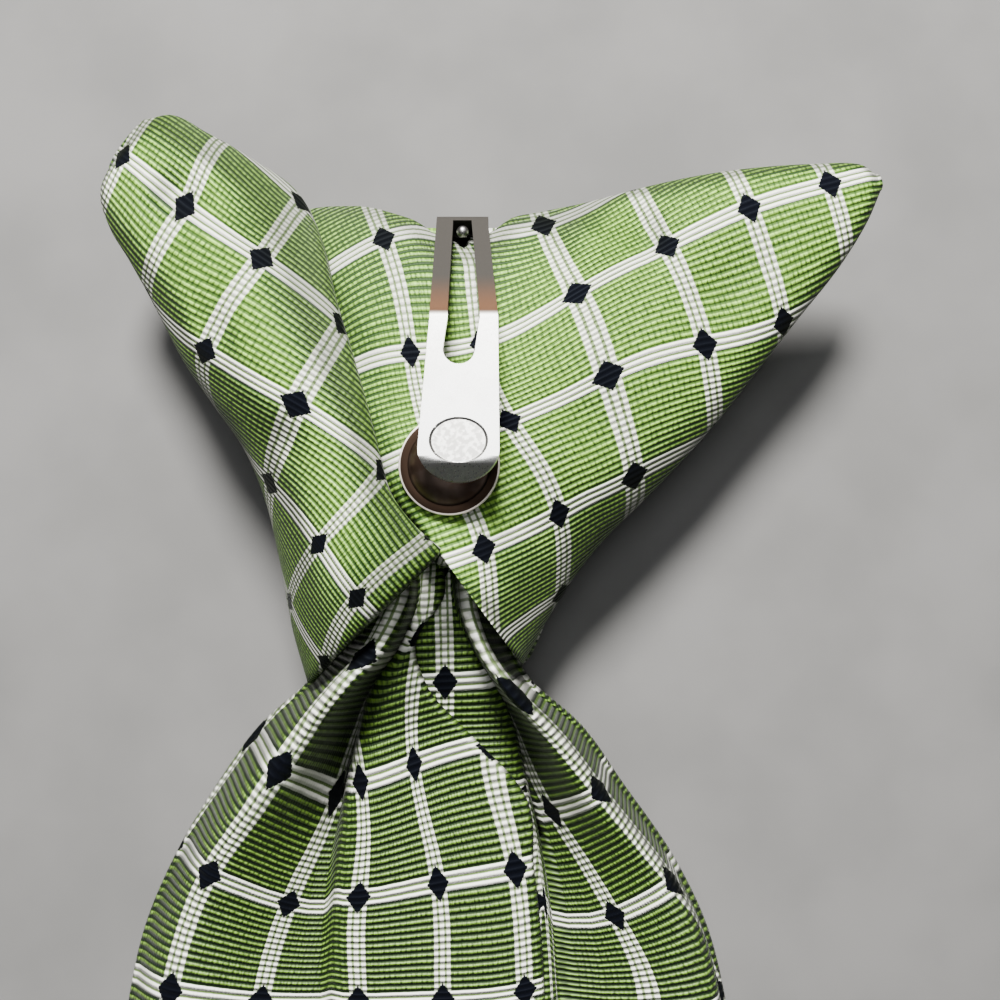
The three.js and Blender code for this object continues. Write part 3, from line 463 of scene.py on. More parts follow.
def cloth_sheet(name, rows, weave, wall):
    """A closed sheet of even thickness about its middle, with rounded edges."""
    across = np.gradient(rows, axis=1)
    along = np.gradient(rows, axis=0)
    normal = unit(np.cross(across, along))
    edge = unit(across) * wall * 0.38
    over = rows + normal * wall / 2
    under = rows - normal * wall / 2
    rings = np.concatenate([
        rows[:, :1] - edge[:, :1], over, rows[:, -1:] + edge[:, -1:], under[:, ::-1]], axis=1)
    marks = np.concatenate([weave[:, :1], weave, weave[:, -1:], weave[:, ::-1], weave[:, :1]], axis=1)
    faces, corners = skin_rings(rings, marks)
    count = rings.shape[1]
    wide = rows.shape[1]
    for j, way in ((0, 1), (len(rings) - 1, -1)):
        start = j * count
        for i in range(wide + 1):
            a, b = start + i, start + (count - i) % count
            c, d = start + i + 1, start + (count - i - 1) % count
            quad = [a, c, d, b] if b != a else [a, c, d]
            if c == d:
                quad = [a, c, b]
            marks_of = [marks[j, q - start] for q in quad]
            faces.append(quad[::way])
            corners.append(marks_of[::way])
    return rings.reshape(-1, 3), faces, corners


# ---------------------------------------------------------------- weave layout

def settle_weave(numbers, plan, seen, crossings, reach=0.013):
    """Eases a plain layout so that the crossings fall on whole numbers. seen are the columns that
    hold them, and the pull fades out with the distance from them."""
    marks = np.array(crossings, dtype=float)
    places = marks[:, :2] * MM
    seen_plan = plan[:, seen].reshape(-1, 2)
    seen_numbers = numbers[:, seen].reshape(-1, 2)
    nearest = [int(np.argmin(np.sum((seen_plan - place) ** 2, axis=1))) for place in places]
    kernel = np.exp(-np.sum((places[:, None] - places[None]) ** 2, axis=2) / reach ** 2)
    missing = marks[:, 2:] - seen_numbers[nearest]
    weights = np.linalg.solve(kernel + CROSSING_EASE * np.eye(len(marks)), missing)
    pull = np.exp(-np.sum((plan.reshape(-1, 1, 2) - places[None]) ** 2, axis=2) / reach ** 2)
    return numbers + (pull @ weights).reshape(numbers.shape)


def laid_out(plan, layout):
    """Numbers of repeats along the weft and the warp, from a crossing and the two steps."""
    origin, weft, warp = (np.array(v) * MM for v in layout)
    return (plan - origin) @ np.linalg.inv(np.array([weft, warp]))


# ---------------------------------------------------------------- wings

def pinch_at(x, clip):
    """How far the hook draws in the inner fold of the cloth at a place across the clip."""
    aside = 2 * (x - clip.clip_x) / clip.pinch_width
    return clip.pinch_depth * np.exp(-aside ** 4)


def wing_rings(table, dents, places, inset, sizes, sides, clip=None):
    """Rings of a flattened pouch. Each starts at the middle of its under face. clip is the clip whose
    hook draws in the inner fold, if there is one."""
    angle = np.arange(sides) / sides * 2 * math.pi - math.pi / 2
    rings = []
    for at in places:
        row = read_named(WING_COLUMNS, table, at)
        outer, inner = (np.array([row[fold + "_x"] * sizes.wing_span, row[fold + "_y"] * sizes.knot_length,
                                  row[fold + "_z"] * sizes.knot_depth]) for fold in ("outer", "inner"))
        chord = inner - outer
        rise = row["rise"] * sizes.knot_depth
        margin = 1.5 * inset / np.linalg.norm(chord)
        half = row["puff"] * sizes.knot_depth - inset
        share = margin + (1 - 2 * margin) * (0.5 - 0.5 * np.cos(angle))
        tangent = np.tile(chord, (sides, 1))
        tangent[:, 2] += rise * math.pi * np.cos(math.pi * share)
        tangent = unit(tangent)
        normal = unit(np.array([0.0, 0.0, 1.0]) - tangent * tangent[:, 2:])
        swell = np.sign(np.sin(angle)) * np.abs(np.sin(angle)) ** SWELL
        dent = np.zeros(sides)
        for place, across, long, wide, depth in dents:
            nearness = np.exp(-((at - place) / long) ** 2 - ((share - across) / wide) ** 2)
            dent += depth * sizes.knot_depth * nearness
        dent *= np.clip(swell, 0, 1)
        ring = outer + chord * share[:, None]
        ring[:, 2] += rise * BOW * np.sin(math.pi * share ** CREST)
        ring += normal * (swell * half - dent)[:, None]
        if clip:
            ring[:, 1] -= pinch_at(ring[:, 0], clip) * smooth_step(share, PINCH_FROM, 1.0)
        rings.append(ring)
    return np.array(rings)


def unrolled_plan(rings):
    """Plan places of the rings' points as if the cloth were unrolled from the top middle."""
    looped = np.concatenate([rings, rings[:, :1]], axis=1)
    run = arc_across(looped)
    count = rings.shape[1]
    top = count // 2
    run -= run[:, top:top + 1]
    way = unit(rings[:, 3 * count // 4, :2] - rings[:, count // 4, :2])
    return rings[:, top:top + 1, :2] + way[:, None] * run[:, :, None]


def make_wing(name, table, dents, layout, crossings, sizes, clip):
    sides = WING_SIDES
    places = np.linspace(0, 1, WING_ROWS) ** TIP_CROWDING
    outside = wing_rings(table, dents, places, 0.0, sizes, sides, clip)
    inside = wing_rings(table, dents, places[places > SHUT_TIP][::-3], sizes.cloth, sizes, sides, clip)
    middle = outside[0].mean(axis=0)
    ahead = unit(middle - outside[2].mean(axis=0))
    caps = []
    for share in (0.93, 0.75, 0.45):
        reach = math.sqrt(1 - share * share) * TIP_REACH
        caps.append(middle + (outside[0] - middle) * share + ahead * reach)
    outward = unit(outside[-1].mean(axis=0) - outside[-3].mean(axis=0))
    rim = (outside[-1] + inside[0]) / 2 + outward * MOUTH_LIP
    rings = np.concatenate([np.array(caps)[::-1], outside, rim[None], inside])
    looped = np.concatenate([rings, rings[:, :1]], axis=1)[:, :, :2]
    upper = slice(sides // 4, 3 * sides // 4 + 1)
    numbers = settle_weave(laid_out(unrolled_plan(rings), layout), looped, upper, crossings)
    faces, corners = skin_rings(rings, numbers)
    points = list(rings.reshape(-1, 3))
    fan_cap(points, faces, corners, 0, sides, numbers[0])
    fan_cap(points, faces, corners, (len(rings) - 1) * sides, sides, numbers[-1])
    return mesh_object(name, points, faces, corners)


# ---------------------------------------------------------------- front band

def under_height(trees, x, y, spread):
    """Lowest cloth over a small square of the plan."""
    lowest = math.inf
    for tree in trees:
        for i in range(5):
            for j in range(5):
                start = Vector((x + (i / 2 - 1) * spread, y + (j / 2 - 1) * spread, -0.1))
                hit = tree.ray_cast(start, Vector((0, 0, 1)))[0]
                if hit is not None:
                    lowest = min(lowest, hit.z)
    return lowest


def band_rows(sizes, wings):
    trees = [BVHTree.FromPolygons([v.co for v in wing.data.vertices],
                                  [face.vertices for face in wing.data.polygons]) for wing in wings]
    first, last = FRONT_BAND[0][0], FRONT_BAND[-1][0]
    lifting = np.linspace(LIFT_START, last, 22)[:-1]
    places = np.sort(np.concatenate([np.linspace(first, last, 70), lifting]))
    floor = sizes.cloth / 2
    rows = []
    for along in places:
        row = read_named(FRONT_COLUMNS, FRONT_BAND, along)
        y = along * sizes.knot_length
        lift = max(0.0, row["lift"]) * sizes.knot_depth
        ends = []
        for side, inward in (("left", 1), ("right", -1)):
            edge = row[side] * sizes.wing_span + inward * floor
            roof = under_height(trees, edge, y, sizes.cloth)
            height = min(row["wall"] * sizes.knot_depth, roof - sizes.clearance - floor - lift)
            turn = min(TURN_GROWTH * height + TURN_LEAST, TURN_MOST)
            ends.append(np.array([(edge + inward * turn * share, y, floor + lift + up * height)
                                  for share, up in WALL_PLACES]))
        left, right = ends
        middles = [left[0] + (right[0] - left[0]) * share for share in (0.2, 0.4, 0.6, 0.8)]
        points = np.vstack([left[::-1], middles, right])
        run = smooth_run(points, (5, 5, 5, 8, 8, 8, 8, 8, 5, 5, 5))
        run[:, 2] = np.maximum(run[:, 2], floor + lift)
        rows.append(run)
    return np.array(rows)


def make_front(name, sizes, weave, wings):
    rows = band_rows(sizes, wings)
    run = arc_across(rows)
    run -= run[:, rows.shape[1] // 2][:, None]
    steps = np.linalg.norm(np.diff(rows[:, rows.shape[1] // 2], axis=0), axis=1)
    along = np.concatenate([[0], np.cumsum(steps)])[:, None] + rows[0, 0, 1]
    numbers = np.stack([run / weave.repeat_weft + 0.5,
                        -(along + 0 * run) / weave.repeat_warp + 0.3], axis=-1)
    points, faces, corners = cloth_sheet(name, rows, numbers, sizes.cloth)
    return mesh_object(name, points, faces, corners)


# ---------------------------------------------------------------- blade

def blade_points(row, y, half, sizes):
    """Named places of one section, from the lapped flap round the front to the flap beneath."""
    layer = sizes.cloth + sizes.clearance
    depth = sizes.knot_depth
    axis = row["axis"] * sizes.wing_span
    front = sizes.cloth / 2 + row["lift"] * layer
    side = front + layer

    def place(share, z):
        return (axis + share * half, y, z)

    panel = max(side + row["panel_height"] * depth, side + layer)
    fold = layer / 2
    edge = max(side + row["edge_height"] * depth - fold, front + fold)
    curl = CURL + CURL_RISE * (edge - fold - front)

    def fold_points(sign):
        return [
            (axis + sign * (half - fold), y, edge + fold),
            (axis + sign * half, y, edge),
            (axis + sign * (half - fold), y, edge - fold),
            (axis + sign * max(half - fold - curl, 0.5 * half), y, front),
        ]

    crest = side + row["crest_height"] * depth
    valley = side + row["valley_height"] * depth
    points = [
        place(row["lap"], panel),
        place((row["lap"] + row["panel_left"]) / 2, panel),
        place(row["panel_left"], panel),
        place(row["left_valley"], valley),
        place(row["left_crest"], crest),
        *fold_points(-1),
        place(0, front),
        *fold_points(1)[::-1],
        place(row["right_crest"], crest),
        place(row["right_valley"], valley),
        place(row["panel_right"], panel - layer),
        place((row["panel_right"] + row["panel_left"]) / 2, panel - layer),
        place(row["panel_left"] + TUCK, panel - layer),
    ]
    return np.array(points), front


def blade_rows(sizes):
    band = read_named(FRONT_COLUMNS, FRONT_BAND, BLADE_START)
    mouth_half = ((band["right"] - band["left"]) / 2 * sizes.wing_span - 2 * sizes.cloth
                  - 2 * sizes.clearance - 0.004)
    table = np.array(BLADE)
    gathered = table[table[:, 1] == 0]
    flat = table[table[:, 0] == 1]
    flat = np.column_stack([flat[:, 1], flat[:, 0], flat[:, 2:]])
    flat_columns = ("plain", "gather") + BLADE_COLUMNS[2:]
    start = BLADE_START * sizes.knot_length

    def half_of(row):
        return row["mouth"] * mouth_half + row["wide"] * sizes.blade_width / 2

    rows = []

    def add(row, y, half):
        points, front = blade_points(row, y, half, sizes)
        run = smooth_run(points, BLADE_STEPS)
        run[:, 2] = np.maximum(run[:, 2], front)
        rows.append(run)

    for share in np.linspace(0, 1, GATHERED_ROWS):
        row = read_named(BLADE_COLUMNS, gathered, share)
        row["lift"] = min(max(row["lift"], 0.0), 1.0)
        add(row, start - share * sizes.gather, half_of(row))
    below = start - sizes.gather
    for share in np.linspace(0, 1, FLAT_ROWS)[1:] ** 1.4 * POINT_START:
        row = read_named(flat_columns, flat, share)
        add(row, below - share * sizes.plain_length, half_of(row))
    widest = read_named(flat_columns, flat, POINT_START)
    for share in np.linspace(0, 1, POINT_ROWS)[1:]:
        along = POINT_START + (1 - POINT_START) * share
        half = half_of(widest) * (1 - share) + sizes.point_width / 2 * share
        add(widest, below - along * sizes.plain_length, half)
    return np.array(rows)


def make_blade(name, sizes, weave):
    rows = blade_rows(sizes)
    plan = rows[:, :, :2]
    run = arc_across(rows)
    marks = np.concatenate([[0], np.cumsum(BLADE_STEPS)])
    columns = np.arange(rows.shape[1])
    left_crest, middle, right_crest = marks[4], marks[9], marks[14]
    from_left = run[:, left_crest][:, None] - run
    from_right = run - run[:, right_crest][:, None]
    wide = int(np.argmin(np.abs(rows[:, 0, 1] - WIDE_Y)))
    turns = np.round(-from_left[wide, right_crest] / weave.repeat_weft)
    along = (FIRST_CROSSING_Y - rows[:, :, 1]) / weave.repeat_warp

    left_ridge = np.stack([from_left / weave.repeat_weft, along], axis=-1)
    left_ridge = settle_weave(left_ridge, plan, slice(marks[3], marks[5]), LEFT_RIDGE_CROSSINGS)
    right_ridge = np.stack([-from_right / weave.repeat_weft, along], axis=-1)
    right_ridge = settle_weave(right_ridge, plan, slice(marks[13], marks[15]), RIGHT_RIDGE_CROSSINGS)
    lapped = settle_weave(laid_out(plan, LAPPED_LAYOUT), plan, slice(0, marks[2]), LAPPED_CROSSINGS)
    beneath = settle_weave(laid_out(plan, BENEATH_LAYOUT), plan, slice(marks[16], None), BENEATH_CROSSINGS)

    def eased(one, other, start, end):
        share = smooth_step(columns, start, end)[None, :, None]
        return one * (1 - share) + other * share

    turned = np.array([turns, 0.0])
    ridges = eased(left_ridge, right_ridge + turned, marks[6], marks[12])
    numbers = eased(lapped, ridges, marks[2] + 1, marks[3] + 1)
    numbers = eased(numbers, beneath + turned, marks[15] - 1, marks[16] - 1)
    points, faces, corners = cloth_sheet(name, rows, numbers, sizes.cloth)
    return mesh_object(name, points, faces, corners)


# ---------------------------------------------------------------- hard pieces

def deselect():
    if bpy.context.object and bpy.context.object.mode != "OBJECT":
        bpy.ops.object.mode_set(mode="OBJECT")
    bpy.ops.object.select_all(action="DESELECT")


def choose(piece):
    """Makes a piece the only one that the operators act on."""
    deselect()
    piece.select_set(True)
    bpy.context.view_layer.objects.active = piece


def open_whole(piece):
    choose(piece)
    bpy.ops.object.mode_set(mode="EDIT")
    bpy.ops.mesh.select_all(action="SELECT")


def close_outward():
    """Faces what is selected outward and leaves edit mode."""
    bpy.ops.mesh.normals_make_consistent(inside=False)
    bpy.ops.object.mode_set(mode="OBJECT")


def path_object(name, points):
    """An object whose mesh is one run of edges, extruded from point to point and left in edit mode."""
    deselect()
    bpy.ops.mesh.primitive_plane_add(size=0.001)
    piece = bpy.context.object
    piece.name = name
    piece.data.name = name
    bpy.ops.object.mode_set(mode="EDIT")
    bpy.ops.mesh.select_mode(type="VERT")
    bpy.ops.mesh.select_all(action="SELECT")
    bpy.ops.mesh.merge(type="CENTER")
    bpy.ops.transform.translate(value=points[0])
    for before, after in zip(points, points[1:]):
        step = tuple(b - a for a, b in zip(before, after))
        bpy.ops.mesh.extrude_region_move(TRANSFORM_OT_translate={"value": step})
    bpy.ops.mesh.select_all(action="SELECT")
    return piece


def prism(name, outline, low, high, flare=1.0):
    """A filled outline in plan, extruded upwards, its top wider by flare."""
    piece = path_object(name, [(x, y, low) for x, y in outline])
    bpy.ops.mesh.edge_face_add()
    bpy.ops.mesh.extrude_region_move(TRANSFORM_OT_translate={"value": (0, 0, high - low)})
    if flare != 1.0:
        x, y = (sum(values) / len(outline) for values in zip(*outline))
        bpy.ops.transform.resize(value=(flare, flare, 1), center_override=(x, y, high))
    bpy.ops.mesh.select_all(action="SELECT")
    close_outward()
    return piece


def apply_modifier(piece, kind, **settings):
    choose(piece)
    modifier = piece.modifiers.new(kind.title(), kind)
    for name, value in settings.items():
        setattr(modifier, name, value)
    bpy.ops.object.modifier_apply(modifier=modifier.name)


def cut(piece, operation, cutter):
    """Joins, cuts or keeps what the other object holds, and takes that object away."""
    apply_modifier(piece, "BOOLEAN", operation=operation, object=cutter, solver="EXACT")
    mesh = cutter.data
    bpy.data.objects.remove(cutter)
    bpy.data.meshes.remove(mesh)


def rounded_run(corners, radius, steps=10):
    """Corners of a side view with their bends rounded."""
    corners = [np.array(c, dtype=float) for c in corners]
    run = [corners[0]]
    for before, corner, after in zip(corners, corners[1:], corners[2:]):
        one, two = before - corner, after - corner
        turn = math.pi - math.acos(float(np.dot(unit(one), unit(two))))
        near = min(radius * math.tan(turn / 2), 0.45 * np.linalg.norm(one), 0.45 * np.linalg.norm(two))
        start, end = corner + unit(one) * near, corner + unit(two) * near
        for k in range(steps + 1):
            w = k / steps
            run.append(start * (1 - w) ** 2 + 2 * corner * w * (1 - w) + end * w ** 2)
    run.append(corners[-1])
    return run


def bent_strip(name, corners, radius, width, strip):
    run = rounded_run(corners, radius)
    piece = path_object(name, [(-width / 2, y, z) for y, z in run])
    bpy.ops.mesh.extrude_region_move(TRANSFORM_OT_translate={"value": (width, 0, 0)})
    bpy.ops.object.mode_set(mode="OBJECT")
    apply_modifier(piece, "SOLIDIFY", thickness=strip, offset=0, use_even_offset=True)
    open_whole(piece)
    close_outward()
    return piece


def arc(centre, radii, start, end, steps):
    turns = [start + (end - start) * k / steps for k in range(steps + 1)]
    return [(centre[0] + radii[0] * math.cos(turn), centre[1] + radii[1] * math.sin(turn))
            for turn in turns]


def make_spring(name, clip):
    corners = [(y * MM, z * MM) for y, z in CLIP_CORNERS]
    hook_y, bend_y, tip_y = corners[1][0], corners[3][0], corners[4][0]
    base_z, tongue_z = corners[0][1], corners[3][1]
    lip_y, lip_z = corners[5][0] - tip_y, corners[5][1] - tongue_z
    corners[5] = (tip_y + 2 * lip_y, tongue_z + 2 * lip_z)
    strip = clip.strip
    piece = bent_strip(name, corners, clip.bend_radius, 2 * clip.tongue_width, strip)
    narrow, wide = clip.hook_width / 2, clip.tongue_width / 2
    waist = (narrow + wide) / 2
    elbow = bend_y - strip
    shoulder = tip_y + clip.tip_shoulder
    lip_end = tip_y + lip_y
    outline = [(narrow, hook_y - strip), (narrow, hook_y + strip), (-narrow, hook_y + strip),
               (-narrow, hook_y - strip), (clip.sway - waist, elbow)]
    outline += arc((0, shoulder), (wide, shoulder - lip_end), math.pi, 2 * math.pi, 40)
    outline += [(clip.sway + waist, elbow)]
    base_end = hook_y - CLIP_BASE * MM
    base = [(narrow, hook_y + strip), (-narrow, hook_y + strip), (-narrow, base_end), (narrow, base_end)]
    keep = prism("outline", outline, base_z + strip, tongue_z + strip)
    cut(keep, "UNION", prism("base", base, base_z - strip, base_z + 2 * strip))
    cut(piece, "INTERSECT", keep)
    round_end = clip.slot_width / 2
    start = hook_y - strip / 2 - SLOT_BACK
    end = elbow - clip.slot_width
    slot = [(clip.slot_neck / 2, start), (-clip.slot_neck / 2, start), (clip.sway - round_end, elbow)]
    slot += arc((0, end), (round_end, round_end), math.pi, 2 * math.pi, 24)
    slot += [(clip.sway + round_end, elbow)]
    cut(piece, "DIFFERENCE", prism("slot", slot, base_z + 2 * strip, tongue_z + strip))
    middle = (0, tip_y + DIMPLE_PLACE * (bend_y - tip_y))
    reach = (clip.dimple_width / 2, DIMPLE_LENGTH * clip.dimple_width)
    oval = arc(middle, reach, 0, 2 * math.pi, 48)[:-1]
    pressed = tongue_z + strip / 2 - clip.dimple_depth
    cut(piece, "DIFFERENCE", prism("dimple", oval, pressed, tongue_z + strip, DIMPLE_FLARE))
    apply_modifier(piece, "BEVEL", width=EDGE_BEVEL, segments=2, limit_method="ANGLE",
                   angle_limit=math.radians(38))
    place_hard(piece, (clip.clip_x, 0, 0))
    apply_modifier(piece, "WEIGHTED_NORMAL", keep_sharp=True)
    return piece


def place_hard(piece, shift):
    """Moves a hard piece's mesh to its place, merges doubles, faces it outward and smooths it."""
    open_whole(piece)
    bpy.ops.transform.translate(value=shift)
    bpy.ops.mesh.remove_doubles(threshold=0.000001)
    close_outward()
    bpy.ops.object.shade_smooth_by_angle(angle=math.radians(32))


def turned_piece(name, outline, steps, centre):
    """An outline of radius and height, turned round an upright axis."""
    piece = path_object(name, [(r, 0, z) for r, z in outline])
    bpy.ops.object.mode_set(mode="OBJECT")
    apply_modifier(piece, "SCREW", axis="Z", angle=2 * math.pi, steps=steps, render_steps=steps,
                   use_merge_vertices=True, merge_threshold=0.000001)
    place_hard(piece, centre)
    return piece


def middle_of(low, high):
    return tuple((a + b) / 2 for a, b in zip(low, high))


def make_dish(name, clip):
    rim = clip.dish_diameter / 2
    foot = rim - clip.flange
    sheet = clip.dish_sheet

    def dome(radius, height):
        turns = [k / 16 * math.pi / 2 for k in range(17)]
        return [(radius * math.sin(turn), height * math.cos(turn) ** DOME_BOW) for turn in turns]

    top = [(r, max(z, sheet)) for r, z in dome(foot, clip.dish_rise + sheet)]
    flange = [(rim - 0.1 * MM, sheet), (rim - 0.03 * MM, sheet - 0.03 * MM), (rim, sheet - 0.1 * MM),
              (rim, 0.08 * MM), (rim - 0.08 * MM, 0)]
    inside = dome(foot - sheet, clip.dish_rise)[::-1]
    low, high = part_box("clip_dish")
    x, y, _ = middle_of(low, high)
    return turned_piece(name, top + flange + inside, 96, (x, y, low[2]))


def make_rivet(name, clip):
    radius = clip.rivet_diameter / 2
    turns = [k / 20 * math.pi for k in range(21)]
    outline = [(max(radius * math.sin(turn), 0.0), radius * math.cos(turn)) for turn in turns]
    low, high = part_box("clip_rivet")
    return turned_piece(name, outline, 40, middle_of(low, high))


# ---------------------------------------------------------------- materials

def by_math(operation, reflected=False):
    """A Wire's method that adds one Math node. Reflected, as in 1 - mask, the wire comes last."""
    def method(wire, *others):
        return wire.math(operation, *((*others, wire) if reflected else (wire, *others)))
    return method


class Wire:
    """One output of a material, with ordinary arithmetic."""
    __add__, __radd__ = by_math("ADD"), by_math("ADD", reflected=True)
    __sub__, __rsub__ = by_math("SUBTRACT"), by_math("SUBTRACT", reflected=True)
    __mul__, __rmul__ = by_math("MULTIPLY"), by_math("MULTIPLY", reflected=True)
    __truediv__, __pow__ = by_math("DIVIDE"), by_math("POWER")
    most, size, cosine = by_math("MAXIMUM"), by_math("ABSOLUTE"), by_math("COSINE")
    floor, rounded = by_math("FLOOR"), by_math("ROUND")

    def __init__(self, material, socket):
        self.material = material
        self.socket = socket

    def math(self, operation, *values):
        return self.material.node("ShaderNodeMath", {"operation": operation}, dict(enumerate(values)))

    def to_nearest(self):
        """Distance to the nearest whole number."""
        return self.math("PINGPONG", self, 0.5)

    def step(self, low, high):
        """0 at low, 1 at high, smooth between."""
        values = {"Value": self, "From Min": low, "From Max": high, "To Min": 0.0, "To Max": 1.0}
        return self.material.node("ShaderNodeMapRange", {"interpolation_type": "SMOOTHSTEP"}, values)


class Material:
    """A node material, made one node at a time."""

    def __init__(self, name):
        self.data = bpy.data.materials.new(name)
        self.data.use_nodes = True
        self.tree = self.data.node_tree
        self.tree.nodes.clear()

    def node(self, kind, settings, values, output=0):
        made = self.tree.nodes.new(kind)
        for name, value in settings.items():
            setattr(made, name, value)
        for name, value in values.items():
            self.feed(made.inputs[name], value)
        return Wire(self, made.outputs[output])

    def feed(self, socket, value):
        if isinstance(value, Wire):
            self.tree.links.new(value.socket, socket)
        else:
            socket.default_value = value

    def mix(self, share, low, high):
        """Colour between low and high."""
        values = {0: share, 6: self.shade(low), 7: self.shade(high)}
        return self.node("ShaderNodeMix", {"data_type": "RGBA"}, values, output=2)

    def shade(self, value):
        return value if isinstance(value, Wire) else (*value[:3], 1.0)

    def noise(self, where, scale, detail=2.0, roughness=0.5):
        values = {"Vector": where, "Scale": scale, "Detail": detail, "Roughness": roughness}
        return self.node("ShaderNodeTexNoise", {}, values)

    def place(self):
        return self.node("ShaderNodeTexCoord", {}, {}, output="Object")

    def apart(self, vector):
        return [self.node("ShaderNodeSeparateXYZ", {}, {0: vector}, output=i) for i in range(3)]

    def together(self, x, y, z):
        return self.node("ShaderNodeCombineXYZ", {}, {0: x, 1: y, 2: z})

    def bump(self, height, strength, distance):
        values = {"Strength": strength, "Distance": distance, "Height": height}
        return self.node("ShaderNodeBump", {}, values)

    def finish(self, tone, rough, more):
        """Ends the material in one shader. more holds the values of its other inputs."""
        values = {"Base Color": tone, "Roughness": rough, **more}
        surface = self.node("ShaderNodeBsdfPrincipled", {}, values)
        end = self.tree.nodes.new("ShaderNodeOutputMaterial")
        self.tree.links.new(surface.socket, end.inputs["Surface"])
        return self.data


def silk_material(weave, name, shade, gaps, relief):
    """Ribbed silk: a green ground, pale stripes both ways, and dark diamonds where they cross. shade
    darkens the ground as painted shade, gaps lightens it between the ribs as painted sheen where the silk
    gleams, and relief is the height of the ribs. An attribute on the mesh darkens it with painted shade
    in the hollows of its folds and where it turns away from its painted sheen."""
    silk = Material(name)
    # Painted shade: shade darkens the ground, and its gaps more than its threads.
    green = tuple(c * shade for c in weave.green)
    dark = tuple(c * shade ** 2 for c in weave.dark)

    # Repeats across and along, a little uneven, and millimetres from the nearest stripe's middle.
    place = silk.place()
    slub = silk.noise(place, SLUB_SCALE, 2.0) - 0.5
    drift = silk.noise(place, DRIFT_SCALE, 2.0) - 0.5
    across, along, _ = silk.apart(silk.node("ShaderNodeUVMap", {"uv_map": "weave"}, {}))
    across = across + slub * 0.014 + drift * 0.02
    along = along + slub * 0.006 + drift * 0.012
    aside = across.to_nearest() * (weave.repeat_weft / MM)
    above = along.to_nearest() * (weave.repeat_warp / MM)

    # Ribs, and the threads that fleck them.
    turns = along * float(weave.ribs)
    rib = (turns * (2 * math.pi)).cosine() * 0.5 + 0.5
    lit = rib.step(0.30, 0.75)
    thread = silk.noise(silk.together(across * FLECKS, turns.rounded() * 3.7, 0.0), 1.0, 1.0)
    fleck = thread.step(0.40, 0.60)
    warp_thread = (across * (WARP_THREADS * 2 * math.pi)).cosine() * 0.5 + 0.5

    # The ground, with its gaps and dashes. The gaps are painted lighter as painted sheen where the silk
    # gleams, and darker, as painted shade, elsewhere.
    wear_and_painted_shade = silk.node("ShaderNodeAttribute", {"attribute_name": "wear_and_painted_shade"}, {}, output="Fac")
    painted_sheen_gap = tuple(d + g * gaps for d, g in zip(dark, green))
    gap = silk.mix(wear_and_painted_shade.step(0.0, 0.45), painted_sheen_gap, dark)
    ground = silk.mix(lit * (0.62 + 0.38 * fleck), gap, green)
    warp_line = 1.0 - (across * WARP_LINES).to_nearest().step(0.10, 0.30)
    dash = silk.noise(silk.together(across * WARP_LINES, turns * 0.8, 4.0), 1.0, 1.0).step(0.36, 0.58)
    ground = silk.mix(warp_line * dash * 0.75, ground, dark)

    # The stripes: the warp's with a darker line in it, the weft's broken by the ribs.
    half = weave.stripe / 2 / MM
    warp_stripe, weft_stripe = (
        1.0 - run.step(half - SOFT_EDGE, half + SOFT_EDGE) for run in (aside, above))
    olive = tuple(0.04 * p + 0.22 * g for p, g in zip(weave.pale, weave.green))
    core = (aside - 0.40 * half).size().step(0.09, 0.22)
    filled = rib.step(0.06, 0.40)
    warp_tone = silk.mix(filled * 0.75 + 0.25, olive, weave.pale)
    warp_tone = silk.mix(0.05 + core * 0.95, olive, warp_tone)
    weft_tone = silk.mix(filled, olive, weave.pale)
    tone = silk.mix(warp_stripe, ground, warp_tone)
    tone = silk.mix(weft_stripe * (1.0 - warp_stripe * 0.5), tone, weft_tone)

    # The diamonds, whose sides step with the picks of the weft.
    tall, wide = weave.diamond_tall / 2 / MM, weave.diamond_wide / 2 / MM
    pick = weave.repeat_warp / MM / weave.ribs / 2
    stepped = (above / pick + 0.5).floor() * (0.4 * pick) + above * 0.6
    diamond = 1.0 - (aside * (tall / wide) + stepped).step(tall - 0.12, tall + 0.08)
    tone = silk.mix(diamond, tone, weave.navy)

    # Painted shade from the mesh's attribute, a slow random drift in tone, and the relief.
    shading = (1.0 + drift * 0.3) * (1.0 - wear_and_painted_shade * PAINTED_SHADE_LOSS)
    tone = silk.node("ShaderNodeVectorMath", {"operation": "SCALE"}, {0: tone, "Scale": shading})
    stripes = warp_stripe.most(weft_stripe)
    height = (rib * 0.8 + warp_thread * 0.08 + thread * 0.2) * (1.0 - diamond * 0.6) + stripes * 0.1
    rough = 0.42 + (1.0 - lit) * 0.2 + diamond * 0.3
    return silk.finish(tone, rough, {
        "Metallic": diamond * 0.75, "Specular IOR Level": 0.32, "Specular Tint": (0.86, 1.0, 0.74, 1.0),
        "Sheen Weight": 0.04, "Sheen Roughness": 0.35, "Normal": silk.bump(height, 1.0, relief)})


